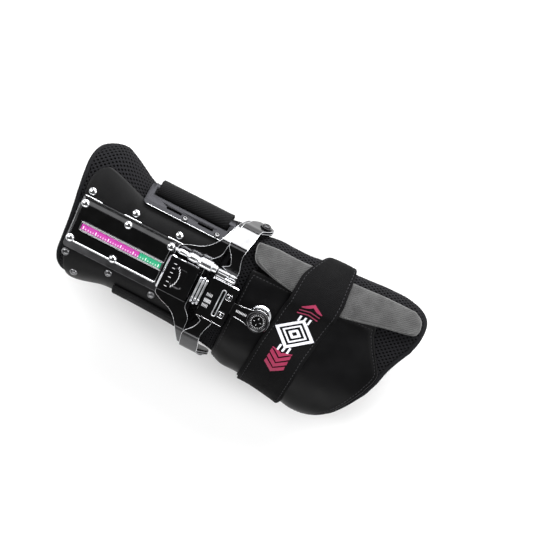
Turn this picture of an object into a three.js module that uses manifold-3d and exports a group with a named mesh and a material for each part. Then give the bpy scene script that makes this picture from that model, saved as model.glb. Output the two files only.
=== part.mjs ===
// Bowling glove for the right hand: a rigid wrist support with a riveted forearm cuff, two side arms with
// pivots, an adjusting mechanism with a release lever on the back of the wrist, and a padded hand section.
// Millimetres, +Z up, +X from the elbow to the fingers, +Y to the thumb side. It rests on its two straps.

import * as THREE from "three";
import { mergeVertices } from "three/addons/utils/BufferGeometryUtils.js";
import Module from "manifold-3d";

// Driving dimensions, measured from the wrist pivots (x = 0) and from the floor (z = 0)
const DECK_HEIGHT = 60; // back of the forearm cuff above the floor
const FOREARM_REACH = 139; // wrist pivots to the elbow end
const FOREARM_HALF_WIDTH = 44.5; // liner, at the strap
const FOREARM_FALL = 25.5; // back of the liner down to its widest line
const HAND_REACH = 145.5; // wrist pivots to the finger end
const HAND_HALF_WIDTH = 54; // liner, at the knuckles
const HAND_FALL = 21;
const CROWN_HALF_WIDTH = 20; // flat strip along the back of the arm and the hand
const PALM_HALF_WIDTH = 22; // flat strip of the straps on the floor
const LINER_WALL = 4;
const CUFF_WALL = 2.2;
const PANEL_WALL = 2;
const SUPPORT_WALL = 2.5;
const TONGUE_WALL = 2;
const STRAP_WALL = 2.2;
const BAND_WALL = 1.8;
const GAP = 0.3; // between neighbouring hard pieces
const SOFT_GAP = 0.45; // between soft layers
const PLATE_WALL = 1.6;

const CUFF_MARGIN = 4.5; // liner that shows beyond the cuff at the elbow end
const BASE_HALF_WIDTH = 21.5;
const BASE_MARGIN = 8; // from the elbow end of the liner to the base plate
const BASE_UNDERLAP = 8; // length of the base plate under the saddle
const COVER_HALF_WIDTH = 18.3;
const COVER_OFFSET = 2.2; // middle of the cover plate from the middle of the deck
const COVER_END_INSET = 0.6; // from the elbow end of the base plate
const COVER_CLEARANCE = 2.4; // from the cover plate to the saddle
const COVER_RISE = 3.2;
const COVER_BEVEL = 2.8;
const SCALE_ELBOW_INSET = 7.8; // from the ends of the cover plate
const SCALE_WRIST_INSET = 2.2;
const SCALE_WIDTH = 5.3;
const SCALE_TAB_LENGTH = 18;
const SCALE_RIM = 1;
const RIVET_RADIUS = 3.3;
const RIVET_RISE = 2;
const PLATE_RIVET_INSET = 3.6; // from the side of the cover plate
const CUFF_RIVET_OUTSET = 4.6; // from the side of the base plate
const RIVET_END_INSET = 4.6; // from the elbow end of the base plate

const PIVOT_HALF_SPAN = 53;
const PIVOT_DROP = 25; // pivots below the flat of the saddle
const PIVOT_RADIUS = 4;
const PIVOT_RISE = 2.2;
const ARM_SKEW = 0.035; // of the arms' width, towards the fingers on the thumb side
const PIVOT_TILT = 83; // degrees of the arms at the pivots
const SADDLE_REACH = 51;
const YOKE_REACH = 20;

const BOX_LENGTH = 26;
const BOX_WIDTH = 31;
const BOX_RISE = 5.2;
const BOX_OFFSET = -1.8; // middle of the box from the middle of the deck
const BOX_BEVEL = 1.2;
const WINDOW_LENGTH = 9;
const WINDOW_WIDTH = 15;
const WINDOW_DEPTH = 1.6;
const ROD_RADIUS = 1.1;
const ROD_LENGTH = 18;
const ROD_PITCH = 2.6;
const ROD_COUNT = 3;
const FRONT_WIDTH = 32;
const FRONT_LENGTH = 22.4;
const FRONT_END = 5.6; // finger end of the front plate, beyond the pivots
const FRONT_OFFSET = -4.4;
const FRONT_RISE = 7.6; // underside of the front plate above the deck
const SLOT_WIDTH = 2.2;
const SLOT_LENGTH = 21.5;
const SLOT_INSET = 9.6; // from the finger end of the front plate
const FRONT_SCREW_SIZE = 4.6;
const FRONT_SCREW_INSET = 4.6;
const FRONT_SCREW_PITCH = 15;
const BARREL_RADIUS = 4.2;
const CLAMP_LENGTH = 17;
const CLAMP_WIDTH = 9.6;
const CLAMP_RISE = 7;

const LEVER_OFFSET = -3;
const LEVER_LENGTH = 20.6; // hinge line to the middle of the cap
const LEVER_ROOT_WIDTH = 9.8;
const LEVER_WALL = 3.2;
const CAP_RADIUS = 8.8;
const CAP_RISE = 1.6;
const WHEEL_RADIUS = 8.2;
const WHEEL_OFFSET = 3.6; // towards the thumb, from the lever's cap
const WHEEL_DROP = 6.4;
const LEVER_SLOT_LENGTH = 8;
const LEVER_SLOT_WIDTH = 1.6;

const BRACKET_TILT = 37; // degrees
const BRACKET_START = 35.4; // inner edge from the middle of the deck
const BRACKET_LENGTH = 71;
const BRACKET_DEPTH = 19.1;
const BRACKET_END = 18.5; // finger end of the loop, from the pivots
const BRACKET_FLANGE = 9.6; // depth of the solid part
const BRACKET_BAR = 4.2; // depth of the outer bar
const BRACKET_CHEEK = 4.6;
const BRACKET_SLOT_LENGTH = 12.7;
const BRACKET_SLOT_WIDTH = 1.8;
const BRACKET_SCREW_RADIUS = 2.3;
const STRAP_WIDTH = 59;
const STRAP_FREE = 1.9; // play of the strap round the bar of the loop

const BAND_WIDTH = 39;
const BAND_START = 33.8;

const STEEL = { color: 0x2b2b2d, metalness: 1, roughness: 0.22 };
const CHROME = { color: 0xc8c9cc, metalness: 1, roughness: 0.12 };
const SATIN = { color: 0x6a6a6c, metalness: 1, roughness: 0.4 };
const VINYL = { color: 0x232323, metalness: 0, roughness: 0.55 };
const MESH = { color: 0x1c1c1c, metalness: 0, roughness: 0.9 };
const LEATHER = { color: 0x1b1b1b, metalness: 0, roughness: 0.5 };
const SUEDE = { color: 0x5a5a5a, metalness: 0, roughness: 0.9 };
const WEBBING = { color: 0x1e1e1e, metalness: 0, roughness: 0.85 };

// Sections along the forearm and the hand. at is the share of the reach, thumb and ulnar are the half
// widths as shares of the zone's half width, crown is the drop of the back as a share of the fall.
const forearm = {
  reach: FOREARM_REACH,
  sign: -1,
  halfWidth: FOREARM_HALF_WIDTH,
  fall: FOREARM_FALL,
  top: DECK_HEIGHT - CUFF_WALL - SOFT_GAP,
  sections: [
    { at: 0.08, thumb: 1.15, ulnar: 1.04, crown: 0 },
    { at: 0.2, thumb: 1.08, ulnar: 0.96, crown: 0 },
    { at: 0.38, thumb: 1.0, ulnar: 0.93, crown: 0 },
    { at: 0.58, thumb: 1.0, ulnar: 0.92, crown: 0 },
    { at: 0.67, thumb: 1.1, ulnar: 0.94, crown: 0 },
    { at: 0.79, thumb: 1.31, ulnar: 1.05, crown: 0 },
    { at: 0.88, thumb: 1.42, ulnar: 1.08, crown: 0 },
    { at: 1.0, thumb: 1.34, ulnar: 1.03, crown: 0.02 },
  ],
};
const hand = {
  reach: HAND_REACH,
  sign: 1,
  halfWidth: HAND_HALF_WIDTH,
  fall: HAND_FALL,
  top: DECK_HEIGHT,
  sections: [
    { at: -0.08, thumb: 0.87, ulnar: 0.89, crown: 0.16 },
    { at: 0.05, thumb: 0.94, ulnar: 0.96, crown: 0.2 },
    { at: 0.12, thumb: 0.96, ulnar: 1.03, crown: 0.25 },
    { at: 0.2, thumb: 0.95, ulnar: 1.04, crown: 0.3 },
    { at: 0.3, thumb: 0.95, ulnar: 1.06, crown: 0.36 },
    { at: 0.42, thumb: 0.99, ulnar: 1.12, crown: 0.48 },
    { at: 0.57, thumb: 0.98, ulnar: 1.22, crown: 0.66 },
    { at: 0.75, thumb: 1.0, ulnar: 1.2, crown: 0.82 },
    { at: 1.0, thumb: 0.98, ulnar: 1.17, crown: 1.05 },
  ],
};

// Elbow and finger outlines. q runs across the section: -1 to 1 is the flat crown, 2 the widest line on
// the thumb side and -2 on the other side. end and start are shares of the reach.
const linerEdge = [
  { q: -2.0, end: 0.825, start: 0.17 },
  { q: -1.85, end: 0.882, start: 0.165 },
  { q: -1.7, end: 0.908, start: 0.16 },
  { q: -1.5, end: 0.934, start: 0.15 },
  { q: -1.25, end: 0.95, start: 0.13 },
  { q: -1.0, end: 0.954, start: 0.115 },
  { q: 0.0, end: 0.963, start: 0.105 },
  { q: 1.0, end: 0.98, start: 0.105 },
  { q: 1.25, end: 0.992, start: 0.1 },
  { q: 1.45, end: 0.999, start: 0.09 },
  { q: 1.64, end: 0.993, start: 0.085 },
  { q: 1.82, end: 0.963, start: 0.08 },
  { q: 2.0, end: 0.86, start: 0.085 },
];
const cuffEdge = [
  { q: -1.98, end: 0.82, start: 0.2 },
  { q: -1.7, end: 0.893, start: 0.185 },
  { q: -1.5, end: 0.924, start: 0.18 },
  { q: -1.25, end: 0.944, start: 0.175 },
  { q: -1.0, end: 0.954, start: 0.17 },
  { q: 0.0, end: 0.963, start: 0.17 },
  { q: 1.0, end: 0.98, start: 0.175 },
  { q: 1.2, end: 0.985, start: 0.18 },
  { q: 1.34, end: 0.966, start: 0.19 },
  { q: 1.42, end: 0.92, start: 0.21 },
];
const tongueEdge = [
  { q: -1.5, end: -0.1, start: 0.26 },
  { q: -1.0, end: -0.13, start: 0.3 },
  { q: 0.0, end: -0.15, start: 0.31 },
  { q: 1.0, end: -0.13, start: 0.3 },
  { q: 1.5, end: -0.1, start: 0.26 },
];
const handEdge = [
  { q: -2.0, end: 0.575, start: -0.14 },
  { q: -1.8, end: 0.675, start: -0.138 },
  { q: -1.6, end: 0.752, start: -0.13 },
  { q: -1.4, end: 0.8, start: -0.115 },
  { q: -1.2, end: 0.846, start: -0.09 },
  { q: -1.0, end: 0.886, start: -0.06 },
  { q: 0.0, end: 0.922, start: -0.05 },
  { q: 0.5, end: 0.948, start: -0.05 },
  { q: 1.0, end: 0.98, start: -0.05 },
  { q: 1.2, end: 0.995, start: -0.045 },
  { q: 1.4, end: 0.998, start: -0.04 },
  { q: 1.6, end: 0.985, start: -0.035 },
  { q: 1.8, end: 0.935, start: -0.02 },
  { q: 2.0, end: 0.84, start: 0.02 },
];
const panelEdge = [
  { q: -2.0, end: 0.558, start: 0.06 },
  { q: -1.8, end: 0.658, start: 0.05 },
  { q: -1.6, end: 0.738, start: 0.045 },
  { q: -1.4, end: 0.788, start: 0.045 },
  { q: -1.2, end: 0.835, start: 0.045 },
  { q: -1.0, end: 0.874, start: 0.045 },
  { q: -0.4, end: 0.894, start: 0.045 },
  { q: 0.1, end: 0.868, start: 0.045 },
  { q: 0.5, end: 0.78, start: 0.045 },
  { q: 0.9, end: 0.62, start: 0.045 },
  { q: 1.15, end: 0.5, start: 0.05 },
];
// Index support from its inner edge to its outer edge
const supportEdge = [
  { q: 1.07, end: 0.58, start: 0.42 },
  { q: 1.12, end: 0.69, start: 0.27 },
  { q: 1.17, end: 0.79, start: 0.16 },
  { q: 1.24, end: 0.945, start: 0.07 },
  { q: 1.3, end: 0.972, start: 0.04 },
  { q: 1.4, end: 0.972, start: 0.025 },
  { q: 1.5, end: 0.955, start: 0.018 },
  { q: 1.57, end: 0.915, start: 0.02 },
];

// Hand strap: lift is what its underside clears, near and far are its edges beyond BAND_START as
// shares of BAND_WIDTH. It starts on the little-finger side and ends under its own first stretch.
const UNDER_BAND = PANEL_WALL + 2 * SOFT_GAP;
const UNDER_SUPPORT = UNDER_BAND + SUPPORT_WALL + SOFT_GAP;
const OVER_TAIL = UNDER_BAND + BAND_WALL + SOFT_GAP;
const bandRows = [
  { q: -1.8, lift: OVER_TAIL, near: 0.0, far: 0.94 },
  { q: -1.6, lift: OVER_TAIL, near: 0.0, far: 1.0 },
  { q: -1.4, lift: OVER_TAIL, near: 0.01, far: 1.01 },
  { q: -1.2, lift: OVER_TAIL, near: 0.03, far: 1.03 },
  { q: -1.0, lift: OVER_TAIL - 0.6, near: 0.05, far: 1.05 },
  { q: 0.0, lift: UNDER_BAND, near: 0.12, far: 1.13 },
  { q: 0.7, lift: UNDER_BAND + 0.8, near: 0.16, far: 1.19 },
  { q: 1.0, lift: UNDER_SUPPORT, near: 0.19, far: 1.22 },
  { q: 1.2, lift: UNDER_SUPPORT, near: 0.2, far: 1.23 },
  { q: 1.4, lift: UNDER_SUPPORT, near: 0.23, far: 1.2 },
  { q: 1.6, lift: UNDER_SUPPORT, near: 0.36, far: 1.18 },
  { q: 1.8, lift: UNDER_SUPPORT - 0.6, near: 0.5, far: 1.15 },
  { q: 2.0, lift: UNDER_BAND - 0.8, near: 0.61, far: 1.11 },
  { q: 2.3, lift: UNDER_BAND - 1.8, near: 0.6, far: 1.1 },
  { q: 2.6, lift: UNDER_BAND - 1.5, near: 0.5, far: 1.1 },
  { q: 3.0, lift: UNDER_BAND - 0.8, near: 0.35, far: 1.1 },
  { q: 4.0, lift: UNDER_BAND, near: 0.12, far: 1.1 },
  { q: 5.0, lift: UNDER_BAND, near: 0.02, far: 1.02 },
  { q: 5.3, lift: UNDER_BAND, near: -0.02, far: 1.0 },
  { q: 5.6, lift: UNDER_BAND, near: -0.03, far: 0.98 },
  { q: 6.0, lift: UNDER_BAND, near: -0.03, far: 0.97 },
  { q: 6.2, lift: UNDER_BAND, near: -0.03, far: 0.96 },
  { q: 6.4, lift: UNDER_BAND, near: -0.02, far: 0.97 },
  { q: 6.6, lift: UNDER_BAND, near: 0.02, far: 0.97 },
];

// Side arms, from the middle of the deck to the pivot: out is a share of PIVOT_HALF_SPAN, down a share
// of PIVOT_DROP. saddleBack and saddleFront are shares of SADDLE_REACH, yokeBack and yokeFront of
// YOKE_REACH, all towards the elbow.
const armRows = [
  { out: 0.0, down: 0, saddleBack: 1.0, saddleFront: 0.5, yokeBack: 0.8, yokeFront: 0.05 },
  { out: 0.39, down: 0, saddleBack: 1.0, saddleFront: 0.5, yokeBack: 0.8, yokeFront: 0.06 },
  { out: 0.455, down: 0, saddleBack: 0.88, saddleFront: 0.44, yokeBack: 0.52, yokeFront: 0.09 },
  { out: 0.52, down: 0, saddleBack: 0.7, saddleFront: 0.385, yokeBack: 0.54, yokeFront: 0.15 },
  { out: 0.59, down: 0, saddleBack: 0.6, saddleFront: 0.365, yokeBack: 0.62, yokeFront: 0.2 },
  { out: 0.66, down: 0, saddleBack: 0.54, saddleFront: 0.36, yokeBack: 0.77, yokeFront: 0.23 },
  { out: 0.715, down: 0.01, saddleBack: 0.49, saddleFront: 0.34, yokeBack: 0.9, yokeFront: 0.2 },
  { out: 0.85, down: 0.25, saddleBack: 0.43, saddleFront: 0.2, yokeBack: 0.86, yokeFront: 0.12 },
  { out: 0.975, down: 0.49, saddleBack: 0.37, saddleFront: 0.04, yokeBack: 0.8, yokeFront: 0.06 },
  { out: 0.985, down: 0.75, saddleBack: 0.34, saddleFront: -0.08, yokeBack: 0.68, yokeFront: -0.16 },
  { out: 1.0, down: 1.0, saddleBack: 0.31, saddleFront: -0.13, yokeBack: 0.6, yokeFront: -0.33 },
  { out: 1.008, down: 1.14, saddleBack: 0.27, saddleFront: -0.12, yokeBack: 0.48, yokeFront: -0.28 },
  { out: 1.015, down: 1.26, saddleBack: 0.18, saddleFront: -0.05, yokeBack: 0.3, yokeFront: -0.12 },
];

const wasm = await Module();
wasm.setup();

const brace = new THREE.Group();
const radians = THREE.MathUtils.degToRad;

// Cubic curve through one column of a table, at a value of its first column
function along(table, key, column, value) {
  const last = table.length - 1;
  let k = 0;
  while (k < last - 1 && value > table[k + 1][key]) k += 1;
  const a = table[k];
  const b = table[k + 1];
  const span = b[key] - a[key];
  const t = THREE.MathUtils.clamp((value - a[key]) / span, 0, 1);
  const before = table[Math.max(k - 1, 0)];
  const after = table[Math.min(k + 2, last)];
  const slopeA = ((b[column] - before[column]) / (b[key] - before[key])) * span;
  const slopeB = ((after[column] - a[column]) / (after[key] - a[key])) * span;
  const t2 = t * t;
  const t3 = t2 * t;
  const start = (2 * t3 - 3 * t2 + 1) * a[column] + (t3 - 2 * t2 + t) * slopeA;
  return start + (3 * t2 - 2 * t3) * b[column] + (t3 - t2) * slopeB;
}

// Point of a zone's section at x, q across it and lift above the liner. Past q = 2 the section goes down
// to the floor, and floorLift is what lies between it and the floor there.
function arch(zone, x, q, lift, floorLift = 0) {
  const at = (zone.sign * x) / zone.reach;
  const side = q < 0 || q > 4 ? -1 : 1;
  const turn = q > 4 ? 8 - q : Math.abs(q);
  const reach = zone.halfWidth * along(zone.sections, "at", side < 0 ? "ulnar" : "thumb", at);
  const crown = zone.top - zone.fall * along(zone.sections, "at", "crown", at);
  const low = crown - zone.fall;
  if (turn <= 1) return [x, side * CROWN_HALF_WIDTH * turn, crown + lift];
  if (turn <= 2) {
    const angle = (turn - 1) * (Math.PI / 2);
    const y = CROWN_HALF_WIDTH + (reach - CROWN_HALF_WIDTH + lift) * Math.sin(angle);
    return [x, side * y, low + (zone.fall + lift) * Math.cos(angle)];
  }
  if (turn <= 3) {
    const angle = (turn - 2) * (Math.PI / 2);
    const y = PALM_HALF_WIDTH + (reach - PALM_HALF_WIDTH + lift) * Math.cos(angle);
    return [x, side * y, low - (low - floorLift) * Math.sin(angle)];
  }
  return [x, side * PALM_HALF_WIDTH * (4 - turn), floorLift];
}

// Closed wall between two grids of points: point(i, j, side) with side 0 inside and 1 outside
function wall(rows, columns, point) {
  const positions = [];
  const index = [];
  const size = rows * columns;
  for (let side = 0; side < 2; side += 1) {
    for (let i = 0; i < rows; i += 1) {
      for (let j = 0; j < columns; j += 1) positions.push(...point(i, j, side));
    }
  }
  const quad = (a, b, c, d) => index.push(a, b, c, a, c, d);
  for (let i = 0; i + 1 < rows; i += 1) {
    for (let j = 0; j + 1 < columns; j += 1) {
      const a = i * columns + j;
      const b = a + columns;
      quad(a, a + 1, b + 1, b);
      quad(size + a, size + b, size + b + 1, size + a + 1);
    }
  }
  const rim = (a, b) => quad(a, b, size + b, size + a);
  for (let j = 0; j + 1 < columns; j += 1) {
    rim(j + 1, j);
    rim((rows - 1) * columns + j, (rows - 1) * columns + j + 1);
  }
  for (let i = 0; i + 1 < rows; i += 1) {
    rim(i * columns, (i + 1) * columns);
    rim((i + 2) * columns - 1, (i + 1) * columns - 1);
  }
  const geometry = new THREE.BufferGeometry();
  geometry.setAttribute("position", new THREE.Float32BufferAttribute(positions, 3));
  geometry.setIndex(index);
  return outward(geometry);
}

function volume(geometry) {
  const p = geometry.attributes.position;
  const index = geometry.index;
  const corner = (k) => new THREE.Vector3().fromBufferAttribute(p, index.getX(k));
  let sum = 0;
  for (let k = 0; k < index.count; k += 3) sum += corner(k).dot(corner(k + 1).cross(corner(k + 2)));
  return sum / 6;
}

function outward(geometry) {
  if (volume(geometry) < 0) {
    const list = geometry.index.array;
    for (let k = 0; k < list.length; k += 3) [list[k], list[k + 1]] = [list[k + 1], list[k]];
  }
  return geometry;
}

function toSolid(geometry) {
  const bare = geometry.clone();
  bare.deleteAttribute("normal");
  bare.deleteAttribute("uv");
  const merged = mergeVertices(bare, 1e-4);
  const mesh = new wasm.Mesh({
    numProp: 3,
    vertProperties: new Float32Array(merged.attributes.position.array),
    triVerts: new Uint32Array(merged.index.array),
  });
  return new wasm.Manifold(mesh);
}

function toGeometry(manifold) {
  const mesh = manifold.getMesh();
  const geometry = new THREE.BufferGeometry();
  geometry.setAttribute("position", new THREE.BufferAttribute(mesh.vertProperties, 3));
  geometry.setIndex(new THREE.BufferAttribute(mesh.triVerts, 1));
  return geometry;
}

function place(name, geometry, look, x = 0, y = 0, z = 0) {
  geometry.computeVertexNormals();
  const mesh = new THREE.Mesh(geometry, new THREE.MeshStandardMaterial(look));
  mesh.name = name;
  mesh.position.set(x, y, z);
  brace.add(mesh);
  return mesh;
}

// Outline of a rectangle about the origin, with round corners
function roundedRectangle(length, width, radius) {
  const x = length / 2;
  const y = width / 2;
  const shape = new THREE.Shape();
  shape.moveTo(-x + radius, -y);
  shape.lineTo(x - radius, -y);
  shape.absarc(x - radius, -y + radius, radius, -Math.PI / 2, 0);
  shape.lineTo(x, y - radius);
  shape.absarc(x - radius, y - radius, radius, 0, Math.PI / 2);
  shape.lineTo(-x + radius, y);
  shape.absarc(-x + radius, y - radius, radius, Math.PI / 2, Math.PI);
  shape.lineTo(-x, -y + radius);
  shape.absarc(-x + radius, -y + radius, radius, Math.PI, 1.5 * Math.PI);
  return shape;
}

function slab(shape, height, curveSegments = 3) {
  return new THREE.ExtrudeGeometry(shape, { depth: height, bevelEnabled: false, curveSegments });
}

// Block with its upper edges sloped in by bevel
function bevelledBlock(length, width, height, bevel) {
  const slope = (side) => side * bevel;
  return wall(2, 2, (i, j, side) => {
    const x = (i - 0.5) * (length - 2 * slope(side));
    const y = (j - 0.5) * (width - 2 * slope(side));
    return [x, y, side * height];
  });
}

function dome(radius, rise, sides) {
  const profile = [new THREE.Vector2(0, 0), new THREE.Vector2(radius, 0)];
  const steps = 4;
  for (let k = 0; k <= steps; k += 1) {
    const angle = (k / steps) * (Math.PI / 2);
    const r = k === steps ? 0 : radius * Math.cos(angle);
    profile.push(new THREE.Vector2(r, rise * (0.25 + 0.75 * Math.sin(angle))));
  }
  const geometry = new THREE.LatheGeometry(profile, sides);
  geometry.rotateX(Math.PI / 2);
  return toGeometry(toSolid(geometry));
}

function disc(radius, height, sides, topRadius = radius) {
  const geometry = new THREE.CylinderGeometry(topRadius, radius, height, sides);
  geometry.rotateX(Math.PI / 2);
  geometry.translate(0, 0, height / 2);
  return geometry;
}

// The q of each row of a table, and of the middle between each two rows
function between(table) {
  const lines = [];
  for (let k = 0; k + 1 < table.length; k += 1) lines.push(table[k].q, (table[k].q + table[k + 1].q) / 2);
  lines.push(table[table.length - 1].q);
  return lines;
}

// Shell of a zone between two lifts, cut to the outline of an edge table, with extra lines between its rows
function shell(zone, edge, low, high, steps, margin = 0) {
  const lines = between(edge);
  return wall(lines.length, steps + 1, (i, j, side) => {
    const q = lines[i];
    const start = zone.sign * zone.reach * along(edge, "q", "start", q);
    const end = zone.sign * (zone.reach * along(edge, "q", "end", q) - margin);
    const x = THREE.MathUtils.lerp(start, end, j / steps);
    return arch(zone, x, q, side === 0 ? low : high);
  });
}

// Soft shells
const cuffTop = SOFT_GAP + CUFF_WALL;
place("forearm_liner", shell(forearm, linerEdge, -LINER_WALL, 0, 14), MESH);
place("forearm_cuff", shell(forearm, cuffEdge, SOFT_GAP, cuffTop, 12, CUFF_MARGIN), VINYL);
const tongueLow = -LINER_WALL - GAP - TONGUE_WALL;
const tongueFall = (x) => Math.min(0, arch(hand, Math.max(x, 0), 0, 0)[2] - forearm.top);
const tongueColumns = 8;
const tongueLines = between(tongueEdge);
place(
  "wrist_liner",
  wall(tongueLines.length, tongueColumns + 1, (i, j, side) => {
    const q = tongueLines[i];
    const start = -FOREARM_REACH * along(tongueEdge, "q", "start", q);
    const end = -FOREARM_REACH * along(tongueEdge, "q", "end", q);
    const x = THREE.MathUtils.lerp(start, end, j / tongueColumns);
    const onForearm = Math.min(x, -0.08 * FOREARM_REACH);
    const point = arch(forearm, onForearm, q, tongueLow + side * TONGUE_WALL);
    const blend = THREE.MathUtils.smoothstep(x, -0.3 * FOREARM_REACH, -0.06 * FOREARM_REACH);
    return [x, point[1], point[2] + blend * tongueFall(x)];
  }),
  MESH,
);
place("hand_liner", shell(hand, handEdge, -LINER_WALL, 0, 12), MESH);
place("hand_panel", shell(hand, panelEdge, SOFT_GAP, SOFT_GAP + PANEL_WALL, 10), LEATHER);
place("index_support", shell(hand, supportEdge, UNDER_BAND, UNDER_BAND + SUPPORT_WALL, 12), SUEDE);

// Hand strap
const bandColumns = 4;
const bandLines = between(bandRows);
place(
  "hand_strap",
  wall(bandLines.length, bandColumns + 1, (i, j, side) => {
    const q = bandLines[i];
    const near = along(bandRows, "q", "near", q);
    const far = along(bandRows, "q", "far", q);
    const x = BAND_START + BAND_WIDTH * THREE.MathUtils.lerp(near, far, j / bandColumns);
    const rise = along(bandRows, "q", "lift", q) + side * BAND_WALL;
    return arch(hand, x, q, rise, BAND_WALL * (1 - side));
  }),
  WEBBING,
);

// Metal plates on the cuff
const baseBottom = DECK_HEIGHT + GAP;
const baseTop = baseBottom + PLATE_WALL;
const saddleBottom = baseTop + GAP;
const saddleTop = saddleBottom + PLATE_WALL;
const baseEnd = FOREARM_REACH - BASE_MARGIN;
const baseLength = baseEnd - SADDLE_REACH + BASE_UNDERLAP;
const baseMiddle = -baseEnd + baseLength / 2;
place(
  "base_plate",
  slab(roundedRectangle(baseLength, 2 * BASE_HALF_WIDTH, 2.5), PLATE_WALL),
  SATIN,
  baseMiddle,
  0,
  baseBottom,
);
const coverEnd = baseEnd - COVER_END_INSET;
const coverLength = coverEnd - SADDLE_REACH - COVER_CLEARANCE;
const coverMiddle = -coverEnd + coverLength / 2;
const coverBottom = baseTop + GAP;
const coverTop = coverBottom + COVER_RISE;
place(
  "cover_plate",
  bevelledBlock(coverLength, 2 * COVER_HALF_WIDTH, COVER_RISE, COVER_BEVEL),
  STEEL,
  coverMiddle,
  COVER_OFFSET,
  coverBottom,
);

// Coloured scale in its rim
const scaleLength = coverLength - SCALE_ELBOW_INSET - SCALE_WRIST_INSET;
const scaleMiddle = -coverEnd + SCALE_ELBOW_INSET + scaleLength / 2;
const rimShape = roundedRectangle(scaleLength + 2 * SCALE_RIM, SCALE_WIDTH + 2 * SCALE_RIM, 1);
rimShape.holes.push(roundedRectangle(scaleLength, SCALE_WIDTH, 0.4));
place("scale_frame", slab(rimShape, 1.2, 2), CHROME, scaleMiddle, 0, coverTop + GAP);
const stripLength = scaleLength - SCALE_TAB_LENGTH - 3 * GAP;
const scaleStart = scaleMiddle - scaleLength / 2 + GAP;
const labelWidth = SCALE_WIDTH - 2 * GAP;
place(
  "scale_strip",
  new THREE.BoxGeometry(stripLength, labelWidth, 0.8),
  { color: 0xd23cae, metalness: 0, roughness: 0.4 },
  scaleStart + stripLength / 2,
  0,
  coverTop + GAP + 0.4,
);
place(
  "scale_tab",
  new THREE.BoxGeometry(SCALE_TAB_LENGTH, labelWidth, 0.8),
  { color: 0x2aa06e, metalness: 0, roughness: 0.4 },
  scaleStart + stripLength + GAP + SCALE_TAB_LENGTH / 2,
  0,
  coverTop + GAP + 0.4,
);

// Rivets: three along each side of the cuff and one at its corner, three along the thumb side of the cover
// plate and two along the other side, where the box covers the third
const cuffRivetStart = -baseEnd + RIVET_END_INSET;
const cuffRivetPitch = (-SADDLE_REACH - COVER_CLEARANCE - cuffRivetStart) / 2;
const plateRivetStart = -coverEnd + PLATE_RIVET_INSET;
const plateRivetPitch = (-SADDLE_REACH - RIVET_RADIUS - 2 * GAP - plateRivetStart) / 2;
for (const [label, side, count] of [["thumb", 1, 3], ["outer", -1, 2]]) {
  for (let k = 0; k < 3; k += 1) {
    const x = cuffRivetStart + k * cuffRivetPitch;
    seatOnCuff(`rivet_cuff_${label}_${k + 1}`, x, side * (BASE_HALF_WIDTH + CUFF_RIVET_OUTSET));
  }
  for (let k = 0; k < count; k += 1) {
    const x = plateRivetStart + k * plateRivetPitch;
    const y = COVER_OFFSET + side * (COVER_HALF_WIDTH - PLATE_RIVET_INSET);
    const rivet = dome(RIVET_RADIUS, RIVET_RISE, 12);
    place(`rivet_plate_${label}_${k + 1}`, rivet, CHROME, x, y, coverTop + GAP);
  }
}
seatOnCuff("rivet_cuff_corner", -0.83 * FOREARM_REACH, -0.9 * FOREARM_HALF_WIDTH);

// Rivet whose axis follows the curve of the cuff at a distance out from the middle
function seatOnCuff(name, x, out) {
  const side = Math.sign(out);
  const at = -x / FOREARM_REACH;
  const reach = FOREARM_HALF_WIDTH * along(forearm.sections, "at", side < 0 ? "ulnar" : "thumb", at);
  const across = reach - CROWN_HALF_WIDTH + cuffTop;
  const angle = Math.asin(Math.min((Math.abs(out) - CROWN_HALF_WIDTH) / across, 0.95));
  const seat = arch(forearm, x, side * (1 + angle / (Math.PI / 2)), cuffTop + GAP);
  const tilt = Math.atan(((FOREARM_FALL + cuffTop) / across) * Math.tan(angle));
  const rivet = place(name, dome(RIVET_RADIUS, RIVET_RISE, 12), CHROME, ...seat);
  rivet.rotation.x = -side * tilt;
}

// Bent arm: a strip along the arm rows with its own front and back edges, on both sides of the hand
function bentArm(name, back, front, reach, rise, look) {
  const path = [];
  for (let k = armRows.length - 1; k > 0; k -= 1) path.push([armRows[k], -1]);
  for (const row of armRows) path.push([row, 1]);
  const base = path.map(([row, side]) => {
    return new THREE.Vector2(side * PIVOT_HALF_SPAN * row.out, saddleBottom - PIVOT_DROP * row.down);
  });
  const normals = base.map((point, k) => {
    const before = base[Math.max(k - 1, 0)];
    const after = base[Math.min(k + 1, base.length - 1)];
    return new THREE.Vector2(before.y - after.y, after.x - before.x).normalize();
  });
  const columns = 3;
  const geometry = wall(path.length, columns, (i, j, side) => {
    const row = path[i][0];
    const across = -reach * THREE.MathUtils.lerp(row[back], row[front], j / (columns - 1));
    const x = across + ARM_SKEW * base[i].x;
    const out = rise + side * PLATE_WALL;
    return [x, base[i].x + normals[i].x * out, base[i].y + normals[i].y * out];
  });
  return place(name, geometry, look);
}
const YOKE_LIFT = PLATE_WALL + GAP;
bentArm("wrist_saddle", "saddleBack", "saddleFront", SADDLE_REACH, 0, STEEL);
bentArm("hand_yoke", "yokeBack", "yokeFront", YOKE_REACH, YOKE_LIFT, STEEL);

// Pivot rivets on the yoke
const pivotOut = YOKE_LIFT + PLATE_WALL + GAP;
for (const [label, side] of [["thumb", 1], ["outer", -1]]) {
  const lean = radians(PIVOT_TILT);
  const y = side * (PIVOT_HALF_SPAN + pivotOut * Math.sin(lean));
  const z = saddleBottom - PIVOT_DROP + pivotOut * Math.cos(lean);
  const x = ARM_SKEW * side * PIVOT_HALF_SPAN;
  const pivot = place(`pivot_${label}`, dome(PIVOT_RADIUS, PIVOT_RISE, 14), CHROME, x, y, z);
  pivot.rotation.x = -side * lean;
}

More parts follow.
